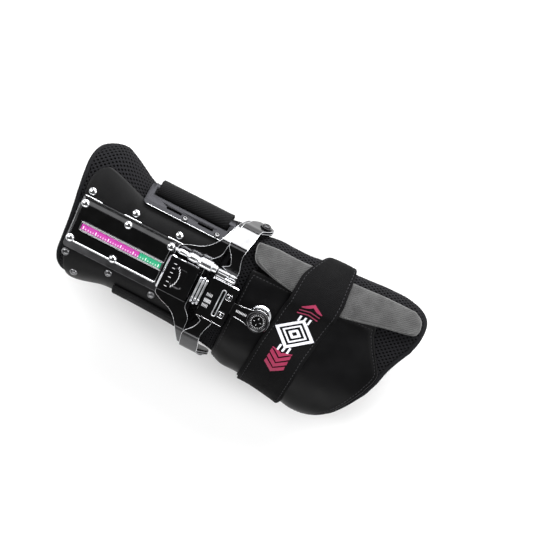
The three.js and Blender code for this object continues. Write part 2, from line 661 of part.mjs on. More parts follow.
// Mechanism box with its window, on the saddle
const boxBottom = saddleTop + GAP;
const boxMiddle = -SADDLE_REACH - 1.5 + BOX_LENGTH / 2;
const recess = slab(roundedRectangle(WINDOW_LENGTH, WINDOW_WIDTH, 2), WINDOW_DEPTH + 1, 4);
recess.translate(0, 0, BOX_RISE - WINDOW_DEPTH);
const box = toSolid(bevelledBlock(BOX_LENGTH, BOX_WIDTH, BOX_RISE, BOX_BEVEL)).subtract(toSolid(recess));
place("mechanism_box", toGeometry(box), STEEL, boxMiddle, BOX_OFFSET, boxBottom);

// Hinge rods on their block, between the box and the front plate
const boxFront = boxMiddle + BOX_LENGTH / 2;
const frontMiddle = FRONT_END - FRONT_LENGTH / 2;
const frontBottom = DECK_HEIGHT + FRONT_RISE;
const frontTop = frontBottom + PLATE_WALL;
const frontBack = frontMiddle - FRONT_LENGTH / 2;
const blockLength = frontBack - boxFront - 2 * GAP;
const blockMiddle = (frontBack + boxFront) / 2;
const rodLevel = frontTop - ROD_RADIUS;
const blockRise = rodLevel - ROD_RADIUS - GAP - boxBottom;
const block = bevelledBlock(blockLength, ROD_LENGTH, blockRise, 0.4);
place("hinge_block", block, STEEL, blockMiddle, LEVER_OFFSET, boxBottom);
for (let k = 0; k < ROD_COUNT; k += 1) {
  const rod = new THREE.CylinderGeometry(ROD_RADIUS, ROD_RADIUS, ROD_LENGTH, 10);
  const x = blockMiddle + (k - (ROD_COUNT - 1) / 2) * ROD_PITCH;
  place(`hinge_rod_${k + 1}`, rod, CHROME, x, LEVER_OFFSET, rodLevel);
}

// Front plate on two feet that stand on the yoke
const frontShape = roundedRectangle(FRONT_LENGTH, FRONT_WIDTH, 1.5);
const slotHole = roundedRectangle(SLOT_WIDTH, SLOT_LENGTH, SLOT_WIDTH / 2 - 0.05);
const slotX = FRONT_LENGTH / 2 - SLOT_INSET;
const shiftedSlot = new THREE.Path(slotHole.getPoints(4).map((p) => p.add(new THREE.Vector2(slotX, 0))));
frontShape.holes.push(shiftedSlot);
const yokeTop = saddleBottom + YOKE_LIFT + PLATE_WALL;
const footRise = frontBottom - yokeTop - GAP;
const footWidth = 6;
const footX = -FRONT_LENGTH / 2 + 5.5;
let front = toSolid(slab(frontShape, PLATE_WALL));
for (const side of [-1, 1]) {
  const foot = new THREE.BoxGeometry(9, footWidth, footRise + 0.4);
  foot.translate(footX, side * (FRONT_WIDTH / 2 - footWidth / 2 - 1), -footRise / 2 + 0.2);
  front = front.add(toSolid(foot));
}
place("front_plate", toGeometry(front), STEEL, frontMiddle, FRONT_OFFSET, frontBottom);
for (let k = 0; k < 2; k += 1) {
  const y = FRONT_OFFSET + (k - 0.5) * FRONT_SCREW_PITCH;
  const screw = bevelledBlock(FRONT_SCREW_SIZE, FRONT_SCREW_SIZE, 1.4, 0.8);
  place(`front_screw_${k + 1}`, screw, CHROME, FRONT_END - FRONT_SCREW_INSET, y, frontTop + GAP);
}

// Adjuster: a spindle beside the box, and the clamp beyond it
const barrelSections = [
  { at: 0, radius: 0.3 },
  { at: 0.12, radius: 0.55 },
  { at: 0.45, radius: 0.8 },
  { at: 0.75, radius: 1 },
  { at: 1, radius: 0.9 },
];
const barrelStart = -SADDLE_REACH - 0.2;
const barrelFront = -YOKE_REACH * armRows[0].yokeBack - GAP;
const barrelLength = barrelFront - barrelStart;
const barrelProfile = [new THREE.Vector2(0, 0)];
for (const section of barrelSections) {
  barrelProfile.push(new THREE.Vector2(BARREL_RADIUS * section.radius, barrelLength * section.at));
}
barrelProfile.push(new THREE.Vector2(0, barrelLength));
const barrel = toGeometry(toSolid(new THREE.LatheGeometry(barrelProfile, 12)));
barrel.rotateZ(-Math.PI / 2);
const barrelY = BOX_OFFSET + BOX_WIDTH / 2 + GAP + BARREL_RADIUS;
const barrelZ = saddleTop + GAP + BARREL_RADIUS;
place("adjuster_barrel", barrel, CHROME, barrelStart, barrelY, barrelZ);
const clampBody = toSolid(bevelledBlock(CLAMP_LENGTH, CLAMP_WIDTH, CLAMP_RISE, 1));
const cut = new THREE.BoxGeometry(CLAMP_LENGTH * 0.6, 1.8, 6);
cut.translate(CLAMP_LENGTH * 0.3, 0, CLAMP_RISE);
const clampBottom = yokeTop + GAP;
const clampY = FRONT_OFFSET + FRONT_WIDTH / 2 + GAP + CLAMP_WIDTH / 2;
const clamp = toGeometry(clampBody.subtract(toSolid(cut)));
place("adjuster_clamp", clamp, CHROME, barrelFront + GAP + CLAMP_LENGTH / 2, clampY, clampBottom);

// Release lever: a tapered arm with a slot, the round cap and its stepped wheel, hinged at the front plate
const lever = new THREE.Shape();
const leverStart = 1.2;
const tangent = 0.93;
lever.moveTo(leverStart, -LEVER_ROOT_WIDTH / 2);
lever.lineTo(LEVER_LENGTH * 0.5, -LEVER_ROOT_WIDTH * 0.56);
lever.absarc(LEVER_LENGTH, 0, CAP_RADIUS, -Math.PI * 0.8 * tangent, Math.PI * 0.8 * tangent);
lever.lineTo(LEVER_LENGTH * 0.5, LEVER_ROOT_WIDTH * 0.56);
lever.lineTo(leverStart, LEVER_ROOT_WIDTH / 2);
lever.closePath();
const leverBody = toSolid(slab(lever, LEVER_WALL, 14));
const groove = slab(roundedRectangle(LEVER_SLOT_LENGTH, LEVER_SLOT_WIDTH, 0.6), 2, 2);
groove.translate(leverStart + 1.4 + LEVER_SLOT_LENGTH / 2, 0, LEVER_WALL - 0.8);
const capSolid = disc(CAP_RADIUS - 0.4, CAP_RISE + 0.2, 28, CAP_RADIUS - 1.2);
capSolid.translate(LEVER_LENGTH, 0, LEVER_WALL - 0.2);
let leverSolid = leverBody.subtract(toSolid(groove)).add(toSolid(capSolid));
const hinge = new THREE.CylinderGeometry(1.5, 1.5, LEVER_ROOT_WIDTH, 10);
hinge.translate(0, 0, 1.5);
const hingeWeb = new THREE.BoxGeometry(leverStart + 1, LEVER_ROOT_WIDTH, 1.6);
hingeWeb.translate(leverStart / 2 + 0.4, 0, 1.5);
leverSolid = leverSolid.add(toSolid(hinge)).add(toSolid(hingeWeb));
const leverX = FRONT_END + GAP + 1.6;
const leverZ = frontTop - 1.5;
place("release_lever", toGeometry(leverSolid), STEEL, leverX, LEVER_OFFSET, leverZ);
let wheel = toSolid(disc(WHEEL_RADIUS * 0.62, WHEEL_DROP, 20));
const step = disc(WHEEL_RADIUS * 0.82, WHEEL_DROP * 0.66, 20);
step.translate(0, 0, WHEEL_DROP * 0.34);
const brim = disc(WHEEL_RADIUS, WHEEL_DROP * 0.33, 20);
brim.translate(0, 0, WHEEL_DROP * 0.67);
wheel = wheel.add(toSolid(step)).add(toSolid(brim));
const wheelZ = leverZ - GAP - WHEEL_DROP;
place("lever_wheel", toGeometry(wheel), CHROME, leverX + LEVER_LENGTH, LEVER_OFFSET + WHEEL_OFFSET, wheelZ);

// Loop on the thumb side that the forearm strap folds over, in its own leaning plane
const bracketLean = radians(BRACKET_TILT);
const bracketMiddle = -BRACKET_END - BRACKET_LENGTH / 2;
const bracketSeat = bracketSeatHeight();
const bracketPoint = (depth, rise) => [
  BRACKET_START + depth * Math.cos(bracketLean) + rise * Math.sin(bracketLean),
  bracketSeat - depth * Math.sin(bracketLean) + rise * Math.cos(bracketLean),
];
const loopShape = roundedRectangle(BRACKET_LENGTH, BRACKET_DEPTH, 3.5);
const windowDepth = BRACKET_DEPTH - BRACKET_FLANGE - BRACKET_BAR;
const windowMiddle = -BRACKET_DEPTH / 2 + BRACKET_FLANGE + windowDepth / 2;
const strapWindow = roundedRectangle(BRACKET_LENGTH - 2 * BRACKET_CHEEK, windowDepth, 0.8);
loopShape.holes.push(shifted(strapWindow, 0, windowMiddle));
const slotAt = -BRACKET_DEPTH / 2 + BRACKET_FLANGE / 2;
for (const share of [-0.16, 0.21]) {
  const slot = roundedRectangle(BRACKET_SLOT_LENGTH, BRACKET_SLOT_WIDTH, 0.6);
  loopShape.holes.push(shifted(slot, share * BRACKET_LENGTH, slotAt));
}
const loop = place("side_bracket", slab(loopShape, PLATE_WALL), SATIN);
loop.position.set(bracketMiddle, ...bracketPoint(BRACKET_DEPTH / 2, 0));
loop.rotation.x = -bracketLean;
for (const [k, share] of [-0.02, 0.36].entries()) {
  const seat = bracketPoint(BRACKET_SCREW_RADIUS + 0.6, PLATE_WALL + GAP);
  const x = bracketMiddle + share * BRACKET_LENGTH;
  const mesh = place(`bracket_screw_${k + 1}`, dome(BRACKET_SCREW_RADIUS, 1.2, 10), CHROME, x, ...seat);
  mesh.rotation.x = -bracketLean;
}

function shifted(shape, x, y) {
  return new THREE.Path(shape.getPoints(3).map((p) => p.add(new THREE.Vector2(x, y))));
}

// Height of the loop's inner edge, where its plane just clears the curve of the cuff
function bracketSeatHeight() {
  let seat = 0;
  for (let share = 0; share <= 1; share += 0.125) {
    for (let q = 1; q <= 1.5; q += 0.02) {
      const [, y, z] = arch(forearm, -BRACKET_END - BRACKET_LENGTH * share, q, cuffTop + GAP);
      seat = Math.max(seat, z + (y - BRACKET_START) * Math.tan(bracketLean));
    }
  }
  return seat;
}

// Forearm strap: left surface of one ribbon, from the cuff under the arm, up and over the bar of the loop
const [barY, barZ] = bracketPoint(BRACKET_DEPTH - BRACKET_BAR / 2, PLATE_WALL / 2);
const turnRadius = BRACKET_BAR / 2 + STRAP_FREE + STRAP_WALL;
const strapMiddle = bracketMiddle + 0.4;
const strapColumns = 4;

// Path of the strap's inner surface at x, as points of y and z
function strapPath(x) {
  const path = [];
  const onForearm = (q, lift) => path.push(arch(forearm, x, q, lift, STRAP_WALL).slice(1));
  for (const q of [-1.36, -1.5, -1.6, -1.7, -1.8, -1.9, -2]) onForearm(q, cuffTop + SOFT_GAP);
  for (const q of [-2.25, -2.5, -2.75, -3, -4, 3, 2.75, 2.5, 2.25, 2, 1.85]) {
    onForearm(q, q < 0 ? cuffTop + SOFT_GAP : 2.5 * SOFT_GAP);
  }
  for (const degrees of [180, 150, 120, 90, 60, 30, 0]) {
    const angle = radians(degrees);
    path.push([barY + turnRadius * Math.cos(angle), barZ + turnRadius * Math.sin(angle)]);
  }
  path.push([barY + turnRadius * 0.95, barZ - turnRadius * 0.8]);
  path.push([barY + turnRadius * 0.62, barZ - turnRadius * 1.7]);
  path.push([barY + turnRadius * 0.42, barZ - turnRadius * 2.6]);
  return path;
}

function strapPoint(i, j, side) {
  const x = strapMiddle + (j / strapColumns - 0.5) * STRAP_WIDTH;
  const path = strapPath(x);
  const before = path[Math.max(i - 1, 0)];
  const after = path[Math.min(i + 1, path.length - 1)];
  const normal = new THREE.Vector2(after[1] - before[1], before[0] - after[0]).normalize();
  const out = STRAP_WALL * side;
  return [x, path[i][0] + normal.x * out, Math.max(path[i][1] + normal.y * out, 0)];
}
place("forearm_strap", wall(strapPath(strapMiddle).length, strapColumns + 1, strapPoint), WEBBING);

// Origin at the middle of the footprint, on the floor
brace.updateMatrixWorld(true);
const extent = new THREE.Box3().setFromObject(brace, true);
const middle = extent.getCenter(new THREE.Vector3());
brace.position.set(-middle.x, -middle.y, 0);
brace.updateMatrixWorld(true);

export default brace;
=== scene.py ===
"""Bowling glove for the right hand: wrist support with a riveted cuff, side arms, adjuster and padded hand."""

import math

import bmesh
import bpy
import numpy as np
from bpy.props import FloatProperty, FloatVectorProperty, PointerProperty
from mathutils import Matrix, Vector, noise


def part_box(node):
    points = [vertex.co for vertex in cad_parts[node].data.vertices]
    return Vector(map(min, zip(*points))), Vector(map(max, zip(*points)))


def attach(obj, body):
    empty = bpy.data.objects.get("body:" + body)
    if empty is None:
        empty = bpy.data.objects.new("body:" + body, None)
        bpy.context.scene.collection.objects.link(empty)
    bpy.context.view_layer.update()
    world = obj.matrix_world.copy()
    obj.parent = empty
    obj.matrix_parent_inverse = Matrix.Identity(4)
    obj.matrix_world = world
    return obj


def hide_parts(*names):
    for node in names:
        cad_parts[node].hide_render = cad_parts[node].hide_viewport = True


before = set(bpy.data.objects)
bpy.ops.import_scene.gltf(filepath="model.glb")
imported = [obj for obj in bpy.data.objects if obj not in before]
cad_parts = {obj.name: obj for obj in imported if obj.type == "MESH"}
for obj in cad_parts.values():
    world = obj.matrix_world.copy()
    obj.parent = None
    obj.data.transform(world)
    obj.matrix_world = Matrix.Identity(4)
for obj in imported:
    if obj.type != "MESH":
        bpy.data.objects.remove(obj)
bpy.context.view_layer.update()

bl_info = {
    "name": "Bowling glove",
    "version": (1, 0, 0),
    "blender": (4, 5, 0),
    "location": "3D View > Sidebar > Glove",
    "description": "Dresses the frame of a rigid bowling glove and sets up its studio photograph",
    "category": "Add Mesh",
}

MM = 0.001

# Sizes that the frame's pieces share, in millimetres from the wrist pivots and the floor
DECK_HEIGHT = 60
CROWN_HALF_WIDTH = 20
PALM_HALF_WIDTH = 22
LINER_WALL = 4
CUFF_WALL = 2.2
PANEL_WALL = 2
SUPPORT_WALL = 2.5
TONGUE_WALL = 2
STRAP_WALL = 2.2
BAND_WALL = 1.8
PLATE_WALL = 1.6
GAP = 0.3
SOFT_GAP = 0.45
CUFF_MARGIN = 4.5
BASE_HALF_WIDTH = 21.5
FRONT_END = 5.6
FRONT_OFFSET = -4.4
PIVOT_HALF_SPAN = 53
PIVOT_DROP = 25
PIVOT_TILT = 83
ARM_SKEW = 0.035
SADDLE_REACH = 51
YOKE_REACH = 20
LEVER_OFFSET = -3
LEVER_LENGTH = 20.6
LEVER_ROOT_WIDTH = 9.8
LEVER_WALL = 3.2
CAP_RADIUS = 8.8
WHEEL_RADIUS = 8.2
WHEEL_DROP = 6.4
BRACKET_TILT = 37
BRACKET_START = 35.4
BRACKET_LENGTH = 71
BRACKET_DEPTH = 19.1
BRACKET_END = 18.5
BRACKET_BAR = 4.2
STRAP_WIDTH = 59
STRAP_FREE = 1.9
BAND_WIDTH = 39
BAND_START = 33.8
RIVET_RADIUS = 3.3
RIVET_RISE = 2.0
CUFF_TOP = SOFT_GAP + CUFF_WALL
UNDER_BAND = PANEL_WALL + 2 * SOFT_GAP
UNDER_SUPPORT = UNDER_BAND + SUPPORT_WALL + SOFT_GAP
OVER_TAIL = UNDER_BAND + BAND_WALL + SOFT_GAP
BASE_TOP = DECK_HEIGHT + GAP + PLATE_WALL
SADDLE_BOTTOM = BASE_TOP + GAP
YOKE_LIFT = PLATE_WALL + GAP

# Sections along the forearm and the hand: at is the share of the reach, thumb and ulnar are half widths as
# shares of the zone's half width, crown is the drop of the back as a share of the fall
ZONE_COLUMNS = ("at", "thumb", "ulnar", "crown")
FOREARM = {
    "reach": 139,
    "sign": -1,
    "half_width": 44.5,
    "fall": 25.5,
    "top": DECK_HEIGHT - CUFF_WALL - SOFT_GAP,
    "sections": (
        (0.08, 1.15, 1.04, 0),
        (0.2, 1.08, 0.96, 0),
        (0.38, 1.0, 0.93, 0),
        (0.58, 1.0, 0.92, 0),
        (0.67, 1.1, 0.94, 0),
        (0.79, 1.31, 1.05, 0),
        (0.88, 1.42, 1.08, 0),
        (1.0, 1.34, 1.03, 0.02),
    ),
}
HAND = {
    "reach": 145.5,
    "sign": 1,
    "half_width": 54,
    "fall": 21,
    "top": DECK_HEIGHT,
    "sections": (
        (-0.08, 0.87, 0.89, 0.16),
        (0.05, 0.94, 0.96, 0.2),
        (0.12, 0.96, 1.03, 0.25),
        (0.2, 0.95, 1.04, 0.3),
        (0.3, 0.95, 1.06, 0.36),
        (0.42, 0.99, 1.12, 0.48),
        (0.57, 0.98, 1.22, 0.66),
        (0.75, 1.0, 1.2, 0.82),
        (1.0, 0.98, 1.17, 1.05),
    ),
}

# Outlines: q runs across the section, -1 to 1 is the flat crown, 2 the widest line on the thumb side and -2
# on the other side; end and start are shares of the reach
EDGE_COLUMNS = ("q", "end", "start")
LINER_EDGE = (
    (-2.0, 0.825, 0.17),
    (-1.85, 0.882, 0.165),
    (-1.7, 0.908, 0.16),
    (-1.5, 0.934, 0.15),
    (-1.25, 0.95, 0.13),
    (-1.0, 0.954, 0.115),
    (0.0, 0.963, 0.105),
    (1.0, 0.98, 0.105),
    (1.25, 0.992, 0.1),
    (1.45, 0.999, 0.09),
    (1.64, 0.993, 0.085),
    (1.82, 0.963, 0.08),
    (2.0, 0.86, 0.085),
)
CUFF_EDGE = (
    (-1.98, 0.82, 0.2),
    (-1.7, 0.893, 0.185),
    (-1.5, 0.924, 0.18),
    (-1.25, 0.944, 0.175),
    (-1.0, 0.954, 0.17),
    (0.0, 0.963, 0.17),
    (1.0, 0.98, 0.175),
    (1.2, 0.985, 0.18),
    (1.34, 0.966, 0.19),
    (1.42, 0.92, 0.21),
)
TONGUE_EDGE = (
    (-1.5, -0.1, 0.26),
    (-1.0, -0.13, 0.3),
    (0.0, -0.15, 0.31),
    (1.0, -0.13, 0.3),
    (1.5, -0.1, 0.26),
)
HAND_EDGE = (
    (-2.0, 0.575, -0.14),
    (-1.8, 0.675, -0.138),
    (-1.6, 0.752, -0.13),
    (-1.4, 0.8, -0.115),
    (-1.2, 0.846, -0.09),
    (-1.0, 0.886, -0.06),
    (0.0, 0.922, -0.05),
    (0.5, 0.948, -0.05),
    (1.0, 0.98, -0.05),
    (1.2, 0.995, -0.045),
    (1.4, 0.998, -0.04),
    (1.6, 0.985, -0.035),
    (1.8, 0.935, -0.02),
    (2.0, 0.84, 0.02),
)
PANEL_EDGE = (
    (-2.0, 0.558, 0.06),
    (-1.8, 0.658, 0.05),
    (-1.6, 0.738, 0.045),
    (-1.4, 0.788, 0.045),
    (-1.2, 0.835, 0.045),
    (-1.0, 0.874, 0.045),
    (-0.4, 0.894, 0.045),
    (-0.1, 0.874, 0.045),
    (0.2, 0.846, 0.045),
    (0.5, 0.818, 0.045),
    (0.9, 0.785, 0.045),
    (1.15, 0.765, 0.05),
)
SUPPORT_EDGE = (
    (1.07, 0.58, 0.42),
    (1.12, 0.69, 0.27),
    (1.17, 0.79, 0.16),
    (1.24, 0.945, 0.07),
    (1.3, 0.972, 0.04),
    (1.4, 0.972, 0.025),
    (1.5, 0.955, 0.018),
    (1.57, 0.915, 0.02),
)

# Hand strap: lift is what its underside clears, near and far are its edges beyond BAND_START as shares of
# BAND_WIDTH
BAND_COLUMNS = ("q", "lift", "near", "far")
BAND_ROWS = (
    (-1.8, OVER_TAIL, 0.0, 0.94),
    (-1.6, OVER_TAIL, 0.0, 1.0),
    (-1.4, OVER_TAIL, 0.01, 1.01),
    (-1.2, OVER_TAIL, 0.03, 1.03),
    (-1.0, OVER_TAIL - 0.6, 0.05, 1.05),
    (0.0, UNDER_BAND, 0.12, 1.13),
    (0.7, UNDER_BAND + 0.8, 0.16, 1.19),
    (1.0, UNDER_SUPPORT, 0.19, 1.22),
    (1.2, UNDER_SUPPORT, 0.2, 1.23),
    (1.4, UNDER_SUPPORT, 0.23, 1.2),
    (1.6, UNDER_SUPPORT, 0.36, 1.18),
    (1.8, UNDER_SUPPORT - 0.6, 0.5, 1.15),
    (2.0, UNDER_BAND - 0.8, 0.61, 1.11),
    (2.3, UNDER_BAND - 1.8, 0.6, 1.1),
    (2.6, UNDER_BAND - 1.5, 0.5, 1.1),
    (3.0, UNDER_BAND - 0.8, 0.35, 1.1),
    (4.0, UNDER_BAND, 0.12, 1.1),
    (5.0, UNDER_BAND, 0.02, 1.02),
    (5.3, UNDER_BAND, -0.02, 1.0),
    (5.6, UNDER_BAND, -0.03, 0.98),
    (6.0, UNDER_BAND, -0.03, 0.97),
    (6.2, UNDER_BAND, -0.03, 0.96),
    (6.4, UNDER_BAND, -0.02, 0.97),
    (6.6, UNDER_BAND, 0.02, 0.97),
)

# Side arms from the middle of the deck to the pivot: out is a share of PIVOT_HALF_SPAN, down of PIVOT_DROP,
# the saddle's edges are shares of SADDLE_REACH and the yoke's of YOKE_REACH, towards the elbow
ARM_COLUMNS = ("row", "out", "down", "saddle_back", "saddle_front", "yoke_back", "yoke_front")
ARM_ROWS = (
    (0, 0.0, 0, 1.0, 0.5, 0.8, 0.05),
    (1, 0.39, 0, 1.0, 0.5, 0.8, 0.06),
    (2, 0.455, 0, 0.88, 0.44, 0.52, 0.09),
    (3, 0.52, 0, 0.7, 0.385, 0.54, 0.15),
    (4, 0.59, 0, 0.6, 0.365, 0.62, 0.2),
    (5, 0.66, 0, 0.54, 0.36, 0.77, 0.23),
    (6, 0.715, 0.01, 0.49, 0.34, 0.9, 0.2),
    (7, 0.85, 0.25, 0.43, 0.2, 0.86, 0.12),
    (8, 0.975, 0.49, 0.37, 0.04, 0.8, 0.06),
    (9, 0.985, 0.75, 0.34, -0.08, 0.68, -0.16),
    (10, 1.0, 1.0, 0.31, -0.13, 0.6, -0.33),
    (11, 1.008, 1.14, 0.27, -0.12, 0.48, -0.28),
    (12, 1.015, 1.26, 0.18, -0.05, 0.3, -0.12),
)

# Print of the hand strap: lozenges by their half length in q and their line width, bars, and chevrons by side,
# first place, step and count
LOZENGE_CENTRE = -0.16
LOZENGES = ((0.6, 2.6), (0.38, 1.5), (0.16, 2.2))
BAR_CENTRES = (0.5, -0.86)
BAR_WIDTH = 1.6
CHEVRONS = ((1, 0.68, 0.15, 3), (-1, 0.96, 0.066, 4))
CHEVRON_WIDTH = 1.2
PRINT_RISE = (0.32, -0.1)

# Wrist liner: where its bridge to the hand starts and its length, as shares of the forearm's reach
BRIDGE_START = 0.3
BRIDGE_LENGTH = 0.24

# Index support: q where its inner ridge ends, the ridge's rise and inset from the edge, and the middle and half
# length of the part that the hand strap holds down
RIDGE_END = 1.34
RIDGE_RISE = 1.2
RIDGE_INSET = 2.4
HELD_MIDDLE = 62
HELD_HALF_LENGTH = 26

# Seams: their inset from the edge on the leather, the hand strap and the forearm strap
PANEL_SEAM = 2.6
BAND_SEAM = 2.8
STRAP_SEAM = 2.6

# Mesh net: how far it stays inside the liner's outline, and how far it goes under the lower edge of its cover
NET_INSET = 1.6
NET_LAP = 2

# Length of one step of q, about, round the liners and along the printed side of the hand strap
Q_LENGTH = 36
BAND_Q_LENGTH = 28.0

# Cover plate: insets from its edges and rises, in millimetres
COVER_RISE = 3.2
COVER_OUTER_SLOPE = ((0, 0.0), (0, 0.5), (0.5, 1.4), (1.9, 3.1), (2.3, COVER_RISE))
COVER_THUMB_SLOPE = ((4.4, COVER_RISE), (4.0, 3.12), (0.5, 1.35), (0, 1.0), (0, 0.0))
COVER_END_SLOPE = 2.6
HINGE_BAR_LENGTH = 14

# Turned parts by radius and height, in millimetres
PIVOT_PROFILE = (
    (4.6, 0), (4.7, 0.15), (4.7, 0.6), (4.4, 0.75), (3.5, 0.8), (3.5, 1.3), (3.3, 1.8),
    (2.7, 2.15), (1.9, 2.3), (1.5, 2.3), (1.3, 1.6), (0.1, 1.5),
)
BUTTON_PROFILE = ((1.0, -0.4), (1.24, -0.2), (1.24, 1.0), (0.9, 1.5), (0.5, 1.7), (0.05, 1.7))
CAP_PROFILE = (
    (CAP_RADIUS - 0.6, 0), (CAP_RADIUS - 0.1, 0.2), (CAP_RADIUS, 0.6), (CAP_RADIUS, 1.0),
    (CAP_RADIUS - 0.3, 1.45), (CAP_RADIUS - 0.9, 1.6), (CAP_RADIUS - 1.5, 1.4), (CAP_RADIUS - 1.8, 1.0),
    (CAP_RADIUS - 2.4, 1.0), (CAP_RADIUS - 2.6, 1.25), (0.1, 1.3),
)

# Turned parts by shares of their radius and of their length
SPINDLE_PROFILE = (
    (0.26, 0), (0.34, 0.01), (0.34, 0.08), (0.52, 0.1), (0.56, 0.12), (0.56, 0.2), (0.5, 0.22),
    (0.5, 0.3), (0.74, 0.34), (0.8, 0.37), (0.8, 0.5), (0.7, 0.52), (0.7, 0.56), (0.96, 0.6),
    (1.0, 0.62), (1.0, 0.86), (0.94, 0.89), (0.78, 0.9), (0.78, 0.97), (0.7, 1.0),
)
WHEEL_PROFILE = (
    (0.5, 0), (0.62, 0.3 / WHEEL_DROP), (0.62, 0.32), (0.8, 0.36), (0.82, 0.4), (0.82, 0.62),
    (0.78, 0.65), (0.97, 0.7), (1, 0.74), (1, 0.84), (0.88, 1),
)

# Faces of a bevel strip, whose six points are two triangles
PRISM_FACES = ((0, 1, 2), (5, 4, 3), (0, 3, 4, 1), (1, 4, 5, 2), (2, 5, 3, 0))

# End of the forearm strap below the loop, as shares of its turn outwards and down
STRAP_END = ((0.95, 0.8), (0.62, 1.7), (0.42, 2.6))

# Marks by length, width and height
FINE_MARK = (1.2, 0.45, 0.12)
COARSE_MARK = (2.4, 0.6, 0.12)
BOX_MARK = (2.2, 0.5, 0.1)
PLATE_MARK = (2.6, 0.4, 0.1)
WINDOW_BAR = (3.0, 0.55, 0.15)
GRIP_BAR = (1.8, 0.55, 0.25)
SCALE_MARKS = 31
DIAL_TICKS = 24

# Slot of the record that each finish stands for, where a piece doesn't state another
SLOTS = {
    "dark_chrome": "dark_chrome",
    "bright_chrome": "bright_chrome",
    # Cuff rivets away from the thumb: the same bright chrome, darkened as painted shade
    "dull_chrome": "bright_chrome",
    "satin_steel": "satin_steel",
    "satin_bright": "bright_chrome",
    "loop_steel": "satin_steel",
    "vinyl": "vinyl",
    "leather": "leather",
    "mesh": "mesh_fabric",
    # The core is the mesh fabric; its near-black colour is painted shade in the holes
    "core": "mesh_fabric",
    "binding": "mesh_fabric",
    "grey_thread": "suede",
    "suede": "suede",
    "band": "band_fabric",
    "twill": "strap_fabric",
    "white": "band_fabric",
    "crimson": "band_fabric",
    "magenta": "magenta_label",
    "green": "green_label",
}

# Part of a noise's values over which colour and gloss drift
DRIFT_RANGE = (0.3, 0.7)


def linear(value):
    """One sRGB channel from 0 to 1, turned linear."""
    return value / 12.92 if value <= 0.04045 else ((value + 0.055) / 1.055) ** 2.4


def srgb(code):
    """Linear red, green and blue of an sRGB hex colour such as 1d1d1d."""
    return tuple(linear(int(code[k : k + 2], 16) / 255) for k in (0, 2, 4))


def colour_property(name, code, description):
    return FloatVectorProperty(
        name=name, description=description, subtype="COLOR", size=3, min=0, max=1, default=srgb(code)
    )


def length_property(name, size, description):
    """Length in metres whose default is a size in millimetres."""
    return FloatProperty(
        name=name, description=description, default=size * MM, min=0, unit="LENGTH", precision=5
    )


class GloveSizes(bpy.types.PropertyGroup):
    """Sizes of the details that the frame leaves open."""

    net_length: length_property("Net cell length", 4.4, "Long diagonal of a cell of the spacer mesh")
    net_width: length_property("Net cell width", 3.5, "Short diagonal of a cell of the spacer mesh")
    net_wall: length_property("Net depth", 1.0, "Depth of the holes of the spacer mesh")
    net_hole: FloatProperty(
        name="Net hole", description="Hole as a share of its cell", default=0.7, min=0.1, max=0.9
    )
    binding_radius: length_property("Binding radius", 2.1, "Half the thickness of the bound edge of the liners")
    stitch_pitch: length_property("Stitch pitch", 2.8, "From one stitch to the next")
    stitch_length: length_property("Stitch length", 1.9, "Length of thread that shows in a stitch")
    stitch_width: length_property("Stitch width", 0.55, "Thickness of the sewing thread")
    metal_edge: length_property("Metal edge", 0.35, "Rounding of the edges of the metal parts")


class GloveColours(bpy.types.PropertyGroup):
    """Colours of the finishes."""

    dark_chrome: colour_property("Dark chrome", "484849", "Reflection of the dark plated parts")
    bright_chrome: colour_property("Bright chrome", "dfe0e3", "Reflection of rivets, rods and the adjuster")
    satin_steel: colour_property("Satin steel", "606062", "Reflection of the base plate and the strap loop")
    vinyl: colour_property("Vinyl", "0c0c0d", "Cuff")
    mesh: colour_property("Spacer mesh", "18181a", "Liners")
    leather: colour_property("Leather", "070708", "Hand panel")
    suede: colour_property("Suede", "373737", "Index support")
    band: colour_property("Band", "080809", "Hand strap")
    twill: colour_property("Twill", "101011", "Forearm strap")
    white: colour_property("White print", "dcdce4", "Light print on the hand strap")
    crimson: colour_property("Crimson print", "8e2346", "Coloured print on the hand strap")
    magenta: colour_property("Magenta label", "b03a96", "Long label of the scale")
    green: colour_property("Green label", "2c9970", "Short label of the scale")


def frame_shift():
    """Where the pivot line and the middle line of the deck lie in the frame, in millimetres."""
    low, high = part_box("base_plate")
    return np.array([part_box("front_plate")[1].x / MM - FRONT_END, (low.y + high.y) / 2 / MM, 0.0])


SHIFT = frame_shift()


# Curves and surfaces


def cubic(t, a, b, slope_a, slope_b):
    """Point at share t of a cubic piece from a to b, whose slopes are over the whole piece."""
    start = (2 * t**3 - 3 * t**2 + 1) * a + (t**3 - 2 * t**2 + t) * slope_a
    return start + (3 * t**2 - 2 * t**3) * b + (t**3 - t**2) * slope_b


def along(table, columns, column, values):
    """Cubic curve through one column of a table, at values of its first column."""
    keys = np.array([row[0] for row in table], float)
    data = np.array([row[columns.index(column)] for row in table], float)
    values = np.asarray(values, float)
    last = len(keys) - 1
    k = np.clip(np.searchsorted(keys, values, side="left") - 1, 0, last - 1)
    span = keys[k + 1] - keys[k]
    t = np.clip((values - keys[k]) / span, 0, 1)
    before = np.maximum(k - 1, 0)
    after = np.minimum(k + 2, last)
    slope_a = (data[k + 1] - data[before]) / (keys[k + 1] - keys[before]) * span
    slope_b = (data[after] - data[k]) / (keys[after] - keys[k]) * span
    return cubic(t, data[k], data[k + 1], slope_a, slope_b)


def edge_share(edge, column, q):
    return along(edge, EDGE_COLUMNS, column, q)


def across(table, shares):
    """Values of q at shares of the way through a table."""
    return table[0][0] + (table[-1][0] - table[0][0]) * shares


